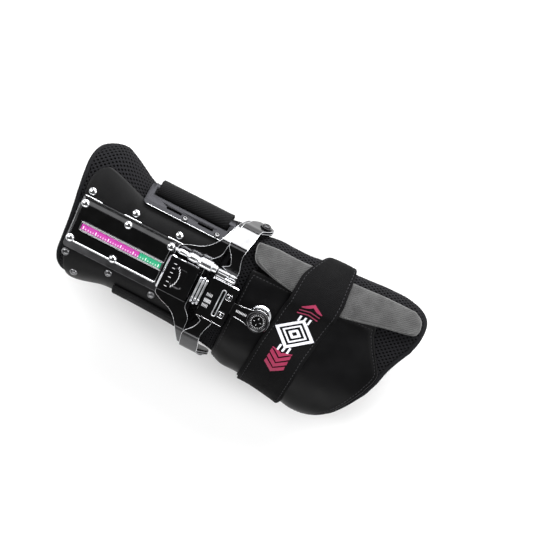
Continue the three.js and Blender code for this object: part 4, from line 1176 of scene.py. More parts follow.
def make_tongue():
    """Wrist liner that bridges the cuff and the hand, under the arms."""
    shares = spaced(60, 60, TONGUE_WALL)
    q = np.linspace(0, 1, 70) * 3 - 1.5
    low = -LINER_WALL - GAP - TONGUE_WALL

    def surface(lift):
        start = -FOREARM["reach"] * edge_share(TONGUE_EDGE, "start", q)
        end = -FOREARM["reach"] * edge_share(TONGUE_EDGE, "end", q)
        x = start[:, None] + (end - start)[:, None] * shares
        points = arch(FOREARM, np.minimum(x, -0.08 * FOREARM["reach"]), q[:, None], lift)
        t = np.clip((x / FOREARM["reach"] + BRIDGE_START) / BRIDGE_LENGTH, 0, 1)
        blend = t * t * (3 - 2 * t)
        fall = np.minimum(0, arch(HAND, np.maximum(x, 0), 0, 0)[..., 2] - FOREARM["top"])
        points[..., 0] = x
        points[..., 2] += blend * fall
        return points

    half = TONGUE_WALL / 2
    middle = surface(low + half)
    _, thick = half_wall(middle, half)
    wave = 0.2 * folds(middle, 15, 5)
    outer, inner = surface(low + half + thick + wave), surface(low + half - thick + wave)
    wall_piece("wrist_tongue", outer, inner, "mesh", ("wrist_liner",))


class GLOVE_OT_liners(bpy.types.Operator):
    """Makes the spacer mesh liners of the forearm, the wrist and the hand"""

    bl_idname = "glove.liners"
    bl_label = "Liners"

    def execute(self, context):
        make_liner("forearm_pad", FOREARM, LINER_EDGE, CUFF_EDGE, "forearm_liner", CUFF_MARGIN + 4, -0.08)
        make_liner("hand_pad", HAND, HAND_EDGE, PANEL_EDGE, "hand_liner", 4, 0.2)
        make_tongue()
        return {"FINISHED"}


class GLOVE_OT_cuff(bpy.types.Operator):
    """Makes the vinyl cuff round the forearm"""

    bl_idname = "glove.cuff"
    bl_label = "Cuff"

    def execute(self, context):
        soft_wall(
            "cuff", FOREARM, CUFF_EDGE, SOFT_GAP, CUFF_TOP, "vinyl", margin=CUFF_MARGIN,
            fold=0.25, seed=11, nodes=("forearm_cuff",),
        )
        return {"FINISHED"}


class GLOVE_OT_hand_panel(bpy.types.Operator):
    """Makes the leather panel on the back of the hand, with its sewn edge"""

    bl_idname = "glove.hand_panel"
    bl_label = "Hand panel"

    def execute(self, context):
        soft_wall(
            "back_panel", HAND, PANEL_EDGE, SOFT_GAP, SOFT_GAP + PANEL_WALL, "leather",
            puff=0.25, seams=(PANEL_SEAM,), fold=0.45, seed=21, nodes=("hand_panel",),
        )
        line = inset_line(HAND, PANEL_EDGE, PANEL_SEAM, SOFT_GAP + PANEL_WALL + 0.05)
        sewn("back_panel_stitches", [line], "thread", slot="leather")
        return {"FINISHED"}


class GLOVE_OT_index_support(bpy.types.Operator):
    """Makes the padded suede support of the index finger, with its corded edge"""

    bl_idname = "glove.index_support"
    bl_label = "Index support"

    def execute(self, context):
        half = SUPPORT_WALL / 2
        lift = UNDER_BAND + half
        q = across(SUPPORT_EDGE, spaced(60, 24, 2.0))
        shares = spaced(130, 130, 2.0)
        middle = shell_grid(HAND, SUPPORT_EDGE, q, shares, lift)
        distance, thick = half_wall(middle, half)
        lower = np.clip((RIDGE_END - q) / 0.08, 0, 1)[:, None]
        ridge = RIDGE_RISE * lower * groove(distance, RIDGE_INSET, 1.3)
        under = np.exp(-(((middle[..., 0] - HELD_MIDDLE) / HELD_HALF_LENGTH) ** 4))
        puffed = (0.8 * (1 - np.exp(-distance / 3)) + 0.5 * folds(middle, 11, 31)) * (1 - under)
        outer = shell_grid(HAND, SUPPORT_EDGE, q, shares, lift + thick + puffed + ridge * (1 - under))
        inner = shell_grid(HAND, SUPPORT_EDGE, q, shares, lift - thick)
        made = wall_piece("finger_support", outer, inner, "suede", ("index_support",))
        edge_line = rim_line(shell_grid(HAND, SUPPORT_EDGE, q, shares, lift + 0.4))
        bound("finger_support_cord", [edge_line], 0.55, "grey_thread")
        return {"FINISHED"}


def band_points(q, share, lift, floor_lift=0.0):
    """Points on the hand strap's surface: q along it, share across it, lift above its underside."""
    near, far, clear = (along(BAND_ROWS, BAND_COLUMNS, column, q) for column in ("near", "far", "lift"))
    x = BAND_START + BAND_WIDTH * (near + (far - near) * share)
    return arch(HAND, x, np.broadcast_to(q, x.shape), clear + lift, floor_lift)


def band_grid(q, shares, lift, floor_lift=0.0):
    return band_points(q[:, None], shares, lift, floor_lift)


def printed_stroke(corners, width, closed=False):
    """Raised print along a line of (q, share) corners on the hand strap, width in millimetres."""
    points = [np.array(corner, float) for corner in corners]
    if closed:
        points.append(points[0])
    scale = np.array([BAND_Q_LENGTH, BAND_WIDTH])
    forms = []
    for a, b in zip(points, points[1:]):
        length = np.linalg.norm((b - a) * scale)
        heading = (b - a) * scale / length
        side = np.array([-heading[1], heading[0]]) * width / 2 / scale
        reach = heading * width * 0.35 / scale
        steps = np.linspace(0, 1, max(int(length / 1.5), 2) + 1)[:, None]
        middle = (a - reach) + (b - a + 2 * reach) * steps
        grid = np.stack([middle - side, middle, middle + side], 1)
        forms.append([band_points(grid[..., 0], grid[..., 1], BAND_WALL + rise) for rise in PRINT_RISE])
    return forms


def joined_walls(name, forms, look, **facts):
    """One piece of several closed walls."""
    points, faces, start = [], [], 0
    for outer, inner in forms:
        more, quads, _ = wall_form(outer, inner)
        points.append(more)
        faces += (quads + start).tolist()
        start += len(more)
    return dress(bare_object(name, np.concatenate(points), faces), look, sharp=40, **facts)


class GLOVE_OT_hand_strap(bpy.types.Operator):
    """Makes the elastic hand strap, its sewn border and its printed lozenges and chevrons"""

    bl_idname = "glove.hand_strap"
    bl_label = "Hand strap"

    def execute(self, context):
        q = across(BAND_ROWS, spaced(230, 300, 1.0))
        shares = spaced(36, BAND_WIDTH, 1.0)
        half = BAND_WALL / 2
        middle = band_grid(q, shares, half, half)
        distance, thick = half_wall(middle, half)
        upper = np.clip((2.2 - np.abs(q)) / 0.4, 0, 1)[:, None]
        wave = 0.3 * upper * folds(middle, 14, 41) - 0.3 * upper * groove(distance, BAND_SEAM, 0.7)
        outer = band_grid(q, shares, half + thick + wave, half - thick)
        inner = band_grid(q, shares, half - thick, half + thick)
        wall_piece("palm_strap", outer, inner, "band", ("hand_strap",))
        top = np.linspace(-1.72, 1.9, 160)
        lines = [band_grid(top, np.array([share]), BAND_WALL - 0.1)[:, 0] for share in (0.07, 0.93)]
        end = band_grid(np.array([-1.7]), np.linspace(0.08, 0.92, 20), BAND_WALL - 0.1)[0]
        sewn("palm_strap_stitches", [*lines, end], "thread", closed=False, slot="band_fabric")
        self.make_print()
        return {"FINISHED"}

    def make_print(self):
        """Lozenges in white with crimson chevrons at both ends, set along the strap."""
        white, crimson = [], []
        for half, width in LOZENGES:
            reach = half * 0.62
            x = LOZENGE_CENTRE
            corners = [(x - half, 0.5), (x, 0.5 - reach), (x + half, 0.5), (x, 0.5 + reach)]
            white += printed_stroke(corners, width, closed=True)
        for centre in BAR_CENTRES:
            for share in (0.4, 0.5, 0.6):
                white += printed_stroke([(centre - 0.1, share), (centre + 0.1, share)], BAR_WIDTH)
        for side, first, step, count in CHEVRONS:
            for k in range(count):
                at = side * (first + step * k)
                crimson += printed_stroke([(at, 0.3), (at + side * 0.08, 0.5), (at, 0.7)], CHEVRON_WIDTH)
        joined_walls("palm_strap_white_print", white, "white")
        joined_walls("palm_strap_crimson_print", crimson, "crimson")


# Forearm strap and its loop


def bracket_point(depth, rise):
    """Point of y and z in the loop's leaning plane."""
    lean = math.radians(BRACKET_TILT)
    stations = -BRACKET_END - BRACKET_LENGTH * np.linspace(0, 1, 9)
    seats = arch(FOREARM, stations[:, None], np.arange(1, 1.5, 0.02)[None, :], CUFF_TOP + GAP)
    seat = (seats[..., 2] + (seats[..., 1] - BRACKET_START) * math.tan(lean)).max()
    return np.array(
        [
            BRACKET_START + depth * math.cos(lean) + rise * math.sin(lean),
            seat - depth * math.sin(lean) + rise * math.cos(lean),
        ]
    )


def resampled(points, count):
    """Smooth line of evenly spaced points through a few."""
    points = np.array(points, float)
    run = np.concatenate([[0], np.cumsum(np.linalg.norm(np.diff(points, axis=0), axis=1))])
    slope = np.gradient(points, run, axis=0)
    at = np.linspace(0, run[-1], count)
    k = np.clip(np.searchsorted(run, at) - 1, 0, len(run) - 2)
    span = (run[k + 1] - run[k])[:, None]
    t = (at - run[k])[:, None] / span
    return cubic(t, points[k], points[k + 1], slope[k] * span, slope[k + 1] * span)


def strap_path(x, bar, turn):
    """Inner line of the forearm strap at x, as points of y and z."""
    ulnar = np.concatenate([np.linspace(-1.36, -2, 8), np.linspace(-2.1, -3, 10), [-3.5]])
    thumb = np.concatenate([[3.6], np.linspace(3, 1.85, 12)])
    path = arch(FOREARM, x, ulnar, CUFF_TOP + SOFT_GAP, STRAP_WALL)[:, 1:].tolist()
    path += arch(FOREARM, x, thumb, 2.5 * SOFT_GAP, STRAP_WALL)[:, 1:].tolist()
    path += circle(bar, turn, [math.radians(degrees) for degrees in range(180, -1, -20)])
    path += [[bar[0] + turn * out, bar[1] - turn * down] for out, down in STRAP_END]
    return path


class GLOVE_OT_forearm_strap(bpy.types.Operator):
    """Makes the twill strap round the forearm and the loop that it folds over"""

    bl_idname = "glove.forearm_strap"
    bl_label = "Forearm strap"

    def execute(self, context):
        bar = bracket_point(BRACKET_DEPTH - BRACKET_BAR / 2, PLATE_WALL / 2)
        turn = BRACKET_BAR / 2 + STRAP_FREE + STRAP_WALL
        middle_x = -BRACKET_END - BRACKET_LENGTH / 2 + 0.4
        shares = spaced(30, STRAP_WIDTH, 1.1)
        columns = []
        for share in shares:
            x = middle_x + (share - 0.5) * STRAP_WIDTH
            line = resampled(strap_path(x, bar, turn), 240)
            columns.append(np.concatenate([np.full((240, 1), x), line], 1))
        inside = np.stack(columns, 1)
        ahead = np.gradient(inside, axis=0)
        normal = unit(np.stack([np.zeros(ahead.shape[:2]), ahead[..., 2], -ahead[..., 1]], -1))
        half = STRAP_WALL / 2
        distance, thick = half_wall(inside, half)
        high = np.clip((inside[..., 2] - 12) / 10, 0, 1)
        wave = high * (0.25 * folds(inside, 12, 51) - 0.3 * groove(distance, STRAP_SEAM, 0.7))
        outer = inside + normal * (half + thick + wave)[..., None]
        inner = inside + normal * (half - thick)[..., None]
        outer[..., 2] = np.maximum(outer[..., 2], 0)
        inner[..., 2] = np.maximum(inner[..., 2], 0.2)
        wall_piece("arm_strap", outer, inner, "twill", ("forearm_strap",))
        upper = slice(150, 238)
        lines = [
            (inside + normal * (STRAP_WALL - 0.05))[upper, column] for column in (5, len(shares) - 6)
        ]
        sewn("arm_strap_stitches", lines, "thread", closed=False, slot="strap_fabric")
        dressed_node("side_bracket", "strap_loop", "loop_steel", 0.3)
        # A satin chrome line along the loop's near edge: painted highlight
        near_edge = bracket_point(0.35, PLATE_WALL)
        rim = [[-BRACKET_END - 3 - (BRACKET_LENGTH - 6) * share, *near_edge] for share in np.linspace(0, 1, 30)]
        bound("strap_loop_edge", [rim], 0.32, "satin_bright", closed=False, slot="satin_steel")
        lean = math.radians(BRACKET_TILT)
        axis = (0, math.sin(lean), math.cos(lean))
        seat = bracket_point(2.9, PLATE_WALL + GAP)
        middle = -BRACKET_END - BRACKET_LENGTH / 2
        places = [[middle + share * BRACKET_LENGTH, *seat] for share in (-0.02, 0.36)]
        nodes = ("bracket_screw_1", "bracket_screw_2")
        screw = screw_form(2.3, 1.3)
        copied("loop_screws", screw, places, "dark_chrome", [axis] * 2, nodes=nodes, slot="bright_chrome")
        return {"FINISHED"}


# Metal parts


def rivet_form(radius, rise):
    """Domed rivet head on a thin flange."""
    profile = [(radius * 0.86, 0), (radius * 0.98, 0.05), (radius, 0.25), (radius * 0.97, 0.45)]
    for k in range(1, 9):
        angle = k / 9 * math.pi / 2
        profile.append((radius * 0.93 * math.cos(angle), 0.45 + (rise - 0.45) * math.sin(angle)))
    profile.append((radius * 0.04, rise))
    return turned_form(profile, 28)


def screw_form(radius, rise):
    """Flat screw head with a hexagonal recess."""
    profile = [(radius * 0.9, 0), (radius, 0.1), (radius, rise * 0.55), (radius * 0.85, rise * 0.9)]
    profile += [(radius * 0.62, rise), (radius * 0.5, rise), (radius * 0.48, rise * 0.45)]
    return turned_form([*profile, (radius * 0.05, rise * 0.4)], 24)


class GLOVE_OT_rivets(bpy.types.Operator):
    """Makes the rivets of the cover plate and the cuff"""

    bl_idname = "glove.rivets"
    bl_label = "Rivets"

    def execute(self, context):
        nodes = sorted(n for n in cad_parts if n.startswith("rivet_"))
        places, axes = [], []
        for node in nodes:
            low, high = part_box(node)
            middle = np.array((low + high) / 2) / MM - SHIFT
            axis = self.axis_of(node, middle)
            places.append(middle - np.array(axis) * RIVET_RISE / 2)
            axes.append(axis)
        # dull marks the cuff rivets away from the thumb, whose darker chrome is painted shade
        dull = [node.startswith("rivet_cuff") and "thumb" not in node for node in nodes]
        head = rivet_form(RIVET_RADIUS, RIVET_RISE)
        for name, wanted, look in (
            ("rivet_heads", False, "bright_chrome"),
            ("rivet_heads_outer", True, "dull_chrome"),
        ):
            chosen = [k for k, is_shaded in enumerate(dull) if is_shaded == wanted]
            seats, leans, made_for = ([data[k] for k in chosen] for data in (places, axes, nodes))
            copied(name, head, seats, look, leans, sharp=60, nodes=made_for)
        return {"FINISHED"}

    def axis_of(self, node, middle):
        """Axis of a rivet, the way that its flat underside faces away from."""
        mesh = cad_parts[node].data
        faces = sorted(mesh.polygons, key=lambda face: -face.area)
        down = sum((face.normal * face.area for face in faces if face.normal.z < -0.2), Vector())
        return tuple(-down.normalized())


def mirrored(values, sign=1):
    """Values from the far pivot to the near one, of which the first is shared."""
    return np.concatenate([sign * values[:0:-1], values])


def arm_path():
    """Fine line of the side arms from pivot to pivot: fractional rows, and points of y and z."""
    rows = np.array([row[0] for row in ARM_ROWS], float)
    fine = np.concatenate([np.linspace(a, a + 1, 7)[:-1] for a in rows[:-1]] + [[rows[-1]]])
    out = np.interp(fine, rows, [row[1] for row in ARM_ROWS]) * PIVOT_HALF_SPAN
    down = np.interp(fine, rows, [row[2] for row in ARM_ROWS]) * PIVOT_DROP
    path = np.stack([mirrored(out, -1), SADDLE_BOTTOM - mirrored(down)], -1)
    for _ in range(2):
        path[1:-1] = (path[:-2] + 2 * path[1:-1] + path[2:]) / 4
    return mirrored(fine), path


def bent_arm(name, back, front, reach, rise, node, edge):
    """Bent strip of plate along the arms, between its front and back edges."""
    row, path = arm_path()
    ahead = np.gradient(path, axis=0)
    normal = unit(np.stack([-ahead[:, 1], ahead[:, 0]], -1))
    shares = spaced(14, 14, 0.8)
    x_back = -reach * along(ARM_ROWS, ARM_COLUMNS, back, row)
    x_front = -reach * along(ARM_ROWS, ARM_COLUMNS, front, row)
    x = x_back[:, None] + (x_front - x_back)[:, None] * shares + ARM_SKEW * path[:, :1]
    middle = np.concatenate([x[..., None], np.broadcast_to(path[:, None], (*x.shape, 2))], -1)
    distance = edge_distance(middle)
    half = PLATE_WALL / 2
    thick = half - edge * (1 - rounding(distance, edge))
    out = np.broadcast_to(np.concatenate([np.zeros((len(row), 1)), normal], 1)[:, None], middle.shape)
    outer = middle + out * (rise + half + thick)[..., None]
    inner = middle + out * (rise + half - thick)[..., None]
    wall_piece(name, outer, inner, "dark_chrome", (node,), sharp=50)
    # Satin chrome lines along both edges of the dark arm: painted highlights on its plate edges
    lines = [outer[1:-1, 1], outer[1:-1, -2]]
    bound(name + "_edges", lines, 0.17, "satin_bright", closed=False, slot="dark_chrome")


class GLOVE_OT_arms(bpy.types.Operator):
    """Makes the saddle and the yoke with their arms, and the wrist pivots"""

    bl_idname = "glove.arms"
    bl_label = "Side arms"

    def execute(self, context):
        edge = context.scene.glove_sizes.metal_edge / MM
        bent_arm("saddle_plate", "saddle_back", "saddle_front", SADDLE_REACH, 0, "wrist_saddle", edge)
        bent_arm("yoke_plate", "yoke_back", "yoke_front", YOKE_REACH, YOKE_LIFT, "hand_yoke", edge)
        lean = math.radians(PIVOT_TILT)
        out = YOKE_LIFT + PLATE_WALL + GAP
        for label, side in (("thumb", 1), ("outer", -1)):
            axis = (0, side * math.sin(lean), math.cos(lean))
            origin = (
                ARM_SKEW * side * PIVOT_HALF_SPAN,
                side * (PIVOT_HALF_SPAN + out * math.sin(lean)),
                SADDLE_BOTTOM - PIVOT_DROP + out * math.cos(lean),
            )
            turned_piece(
                f"pivot_rivet_{label}", PIVOT_PROFILE, origin, "dark_chrome", axis=axis,
                nodes=(f"pivot_{label}",), slot="bright_chrome",
            )
        return {"FINISHED"}


def marks(name, points, heading, size, look, **facts):
    """Small raised bars on points: size is length, width and height in millimetres."""
    length, width, height = size
    outline = rounded_outline(length, width, min(length, width) * 0.25, 2)
    form = block_form(outline, 0, height, height * 0.3)
    return copied(name, form, points, look, headings=[heading] * len(points), sharp=50, **facts)


def bevel_strips(name, strips, look, **facts):
    """Bright bevels, each along a line of two points and sloping down to one side, width in millimetres:
    painted highlights on edges.
    """
    points, faces = [], []
    for start, end, side, width in strips:
        start, end, side = np.array(start, float), np.array(end, float), np.array(side, float)
        base = len(points)
        for at in (start, end):
            points += [at, at + side * width - [0, 0, width], at - [0, 0, width]]
        faces += [[base + k for k in face] for face in PRISM_FACES]
    points = np.array(points)
    made = bare_object(name, points, faces)
    form = bmesh.new()
    form.from_mesh(made.data)
    bmesh.ops.recalc_face_normals(form, faces=form.faces)
    form.to_mesh(made.data)
    form.free()
    return dress(made, look, smooth=False, **facts)


def top_mm(node):
    """Lowest and highest corner of a frame node's top face, in millimetres."""
    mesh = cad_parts[node].data
    points = np.array([vertex.co for vertex in mesh.vertices]) / MM - SHIFT
    face = points[points[:, 2] > points[:, 2].max() - 0.05]
    return face.min(0), face.max(0)


def box_mm(node):
    """Lowest and highest corner of a frame node, in millimetres from the pivots and the deck's middle."""
    low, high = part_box(node)
    return np.array(low) / MM - SHIFT, np.array(high) / MM - SHIFT


class GLOVE_OT_plates(bpy.types.Operator):
    """Makes the base plate, the cover plate and the coloured scale"""

    bl_idname = "glove.plates"
    bl_label = "Plates and scale"

    def execute(self, context):
        edge = context.scene.glove_sizes.metal_edge / MM
        dressed_node("base_plate", "base_strip", "satin_steel", edge)
        self.make_cover()
        self.make_scale()
        return {"FINISHED"}

    def make_cover(self):
        """Cover pressed from plate: a wide shallow slope on the thumb side, a steep one opposite."""
        low, high = box_mm("cover_plate")
        rows = [(low[1] + inset, rise) for inset, rise in COVER_OUTER_SLOPE]
        rows += [(high[1] - inset, rise) for inset, rise in COVER_THUMB_SLOPE]
        line = []
        for a, b in zip(rows, rows[1:]):
            steps = max(int(abs(b[0] - a[0]) / 4), 1)
            line += [(a[0] + (b[0] - a[0]) * k / steps, a[1] + (b[1] - a[1]) * k / steps) for k in range(steps)]
        line = np.array([*line, rows[-1]])
        x = low[0] + (high[0] - low[0]) * spaced(30, high[0] - low[0], COVER_END_SLOPE)
        from_end = np.minimum(x - low[0], high[0] - x)
        drop = np.clip(1 - from_end / COVER_END_SLOPE, 0, 1)
        rise = line[:, 1][:, None] * (1 - 0.72 * drop) * np.ones_like(x)
        rise[[0, -1]] = 0
        x_grid = np.broadcast_to(x, rise.shape)
        y_grid = np.broadcast_to(line[:, 0][:, None], rise.shape)
        outer = np.stack([x_grid, y_grid, low[2] + np.maximum(rise, 0.0)], -1)
        inner = np.stack([x_grid, y_grid, np.full(rise.shape, low[2]) - 0.02], -1)
        wall_piece("cover_pressing", outer, inner, "dark_chrome", ("cover_plate",), sharp=24)
        self.make_highlight_beads(low, high)
        bars = []
        for k in (1, 2, 3):
            a, b = box_mm(f"rivet_cuff_thumb_{k}")
            start = max((a[0] + b[0]) / 2 - HINGE_BAR_LENGTH / 2, low[0] + 0.5)
            places = start + HINGE_BAR_LENGTH * np.linspace(0, 1, 8)
            bars.append([[x, BASE_HALF_WIDTH + 0.4, BASE_TOP + 0.5] for x in places])
        bound("cover_hinge_bars", bars, 0.6, "bright_chrome", closed=False)

    def make_highlight_beads(self, low, high):
        """Bright chrome beads round the cover's flat top, open towards the fingers, and one along its outer
        edge: painted highlights along the cover's edges.
        """
        reach, down = (high[0] - low[0] - 2.4) / 2, (high[1] - low[1] - 6.6) / 2
        centre = np.array([(low[0] + high[0]) / 2, low[1] + 2.2 + down, low[2] + COVER_RISE - 0.1])
        corner = 1.6
        turn = np.linspace(0, math.pi / 2, 6)
        turns = [(-reach - 1.2, down)]
        turns += [(-reach + corner * (1 - math.cos(a)), -down + corner * (1 - math.sin(a))) for a in turn]
        turns += [(reach - corner * (1 - math.sin(a)), -down + corner * (1 - math.cos(a))) for a in turn]
        turns.append((reach, down))
        bead = [centre + np.array([x, y, 0]) for x, y in turns]
        places = np.linspace(-reach + 1, reach - 1, 20)
        outer_line = [centre + np.array([x, -down - 0.2, -0.05]) for x in places]
        bound("cover_bead", [bead], 0.42, "bright_chrome", closed=False)
        bound("cover_outer_bead", [outer_line], 0.75, "bright_chrome", closed=False)

    def make_scale(self):
        """Scale: two label films in a bright rim, with plain division marks."""
        low, high = box_mm("scale_frame")
        dressed_node("scale_frame", "scale_rim", "bright_chrome", 0.2)
        dressed_node("scale_strip", "scale_film_long", "magenta", 0.1)
        dressed_node("scale_tab", "scale_film_short", "green", 0.1)
        middle = (low[1] + high[1]) / 2
        top = box_mm("scale_strip")[1][2]
        start, end = low[0] + 3, high[0] - 3
        fine, coarse = [], []
        for k in range(SCALE_MARKS):
            x = start + (end - start) * k / (SCALE_MARKS - 1)
            if k % 5 == 0:
                coarse.append([x, middle - 1.2 + 0.55, top])
            else:
                fine.append([x, middle - 1.2, top])
        marks("scale_marks_fine", fine, (0, 1, 0), FINE_MARK, "pale_ink")
        marks("scale_marks_coarse", coarse, (0, 1, 0), COARSE_MARK, "pale_ink")


class GLOVE_OT_mechanism(bpy.types.Operator):
    """Makes the box, the hinge rods, the front plate and the adjuster"""

    bl_idname = "glove.mechanism"
    bl_label = "Mechanism"

    def execute(self, context):
        edge = context.scene.glove_sizes.metal_edge / MM
        dressed_node("mechanism_box", "gear_box", "dark_chrome", edge)
        dressed_node("hinge_block", "rod_block", "dark_chrome", edge * 0.6)
        dressed_node("front_plate", "front_bridge", "dark_chrome", edge * 0.8)
        dressed_node("adjuster_clamp", "screw_clamp", "bright_chrome", edge)
        self.make_rods()
        self.make_adjuster()
        self.make_prongs()
        self.make_marks()
        self.make_edge_lines()
        self.make_screws()
        return {"FINISHED"}

    def make_rods(self):
        """Three hinge rods, each with a button at both ends."""
        places, axes = [], []
        for k in range(1, 4):
            low, high = box_mm(f"hinge_rod_{k}")
            length, radius = high[1] - low[1], (high[0] - low[0]) / 2
            neck = radius * 0.82
            profile = [(radius * 0.7, 0), (radius, 0.3), (radius, 2.4), (neck, 2.6)]
            profile += [(r, length - z) for r, z in reversed(profile)]
            origin = ((low[0] + high[0]) / 2, low[1], (low[2] + high[2]) / 2)
            turned_piece(
                f"hinge_pin_{k}", profile, origin, "satin_bright", axis=(0, 1, 0), steps=24,
                nodes=(f"hinge_rod_{k}",),
            )
            for side, y in ((-1, low[1]), (1, high[1])):
                places.append([origin[0], y + side * (0.1 + 0.9 * (k == 2)), origin[2]])
                axes.append((0, side, 0))
        copied("hinge_pin_buttons", turned_form(BUTTON_PROFILE, 20), places, "bright_chrome", axes)

    def make_adjuster(self):
        low, high = box_mm("adjuster_barrel")
        length, radius = high[0] - low[0], (high[1] - low[1]) / 2
        profile = [(r * radius, z * length) for r, z in SPINDLE_PROFILE]
        middle = (low + high) / 2
        turned_piece(
            "adjuster_spindle", profile, (low[0], middle[1], middle[2]), "bright_chrome", axis=(1, 0, 0),
            steps=96, sharp=50, flutes=24, depth=0.025, nodes=("adjuster_barrel",),
        )

    def make_prongs(self):
        """Two half-round prongs of the clamp, along the adjuster's axis."""
        low, high = box_mm("adjuster_clamp")
        length, radius = (high[0] - low[0]) * 0.86, (high[1] - low[1]) * 0.2
        neck, tip = radius * 0.8, radius * 0.5
        profile = [(tip, 0), (radius, 0.5), (radius, length * 0.62), (neck, length * 0.64)]
        profile += [(neck, length * 0.7), (radius, length * 0.72), (radius, length - 0.5), (tip, length)]
        for label, share in (("outer", 0.3), ("thumb", 0.74)):
            origin = (low[0] + 0.6, low[1] + (high[1] - low[1]) * share, high[2] - radius * 0.8)
            turned_piece(f"clamp_prong_{label}", profile, origin, "bright_chrome", axis=(1, 0, 0), steps=24)

    def make_marks(self):
        """Plain ticks and a bracket mark etched on the box and the front plate."""
        low, high = box_mm("mechanism_box")
        top = high[2] - 0.02
        places = np.linspace(low[1] + 6, high[1] - 6, 6)
        marks("box_ticks", [[low[0] + 6.5, y, top] for y in places], (1, 0, 0), BOX_MARK, "etched")
        middle = (low[1] + high[1]) / 2
        turn = [math.radians(-60 + 15 * k) for k in range(9)]
        arc = [[low[0] + 7.5 + 5.5 * math.cos(a), middle + 9 * math.sin(a), top] for a in turn]
        marks("box_curve", arc, (0, 1, 0), BOX_MARK, "etched")
        plate_low, plate_high = box_mm("front_plate")
        plate_top = plate_high[2] - 0.02
        ticks = []
        for start in (-2.0, -11.0):
            ticks += [[plate_low[0] + 1.8 + 1.0 * k, start, plate_top] for k in range(5)]
        marks("plate_ticks", ticks, (0, 1, 0), PLATE_MARK, "etched")
        window = [[plate_low[0] + 1.8 + 0.95 * k, FRONT_OFFSET - 2.5, plate_top] for k in range(6)]
        marks("plate_window_bars", window, (0, 1, 0), WINDOW_BAR, "etched")

    def make_edge_lines(self):
        """Bright lines on the edges of the box and the front plate, and on the rim of its slot: painted
        highlights in chrome.
        """
        low, high = top_mm("mechanism_box")
        plate_low, plate_high = box_mm("front_plate")
        plate_top = plate_high[2] - 0.1
        y = plate_low[1] + 0.2
        line = resampled([[plate_low[0] + 1, y, plate_top], [plate_high[0] - 1, y, plate_top]], 12)
        bound("polished_edges", [line], 0.18, "bright_chrome", closed=False)
        elbow, thumb = (-1, 0, 0), (0, 1, 0)
        strips = [
            ([low[0] + 0.3, low[1] + 0.6, high[2]], [low[0] + 0.3, high[1] - 0.6, high[2]], elbow, 1.9),
            ([low[0] + 0.6, high[1] - 0.3, high[2]], [high[0] - 1.5, high[1] - 0.3, high[2]], thumb, 1.0),
            (
                [plate_low[0] + 1, plate_high[1] - 0.3, plate_high[2]],
                [plate_high[0] - 0.8, plate_high[1] - 0.3, plate_high[2]], thumb, 0.9,
            ),
        ]
        bevel_strips("polished_bevels", strips, "bright_chrome")
        outline = rounded_outline(2.9, 22.2, 1.3)
        rim = [[FRONT_END - 9.6 + x, FRONT_OFFSET + y, plate_top + 0.1] for x, y in outline]
        bound("slot_rim", [rim], 0.45, "satin_bright")

    def make_screws(self):
        """Two square nuts with bright rims, which are painted highlights round their edges, a small screw in
        each.
        """
        places = []
        for k in (1, 2):
            low, high = box_mm(f"front_screw_{k}")
            x, y = (low[:2] + high[:2]) / 2
            outline = [(x + a, y + b) for a, b in rounded_outline(4.3, 4.3, 0.7, 4)]
            block_piece(
                f"front_nut_{k}", outline, low[2], high[2] - 0.5, "dark_chrome", 0.2,
                nodes=(f"front_screw_{k}",), slot="bright_chrome",
            )
            rim = [[a, b, high[2] - 0.6] for a, b in outline]
            bound(f"front_nut_rim_{k}", [rim], 0.26, "bright_chrome")
            places.append([x, y, high[2] - 0.5])
        copied("front_nut_screws", screw_form(0.9, 0.5), places, "bright_chrome")


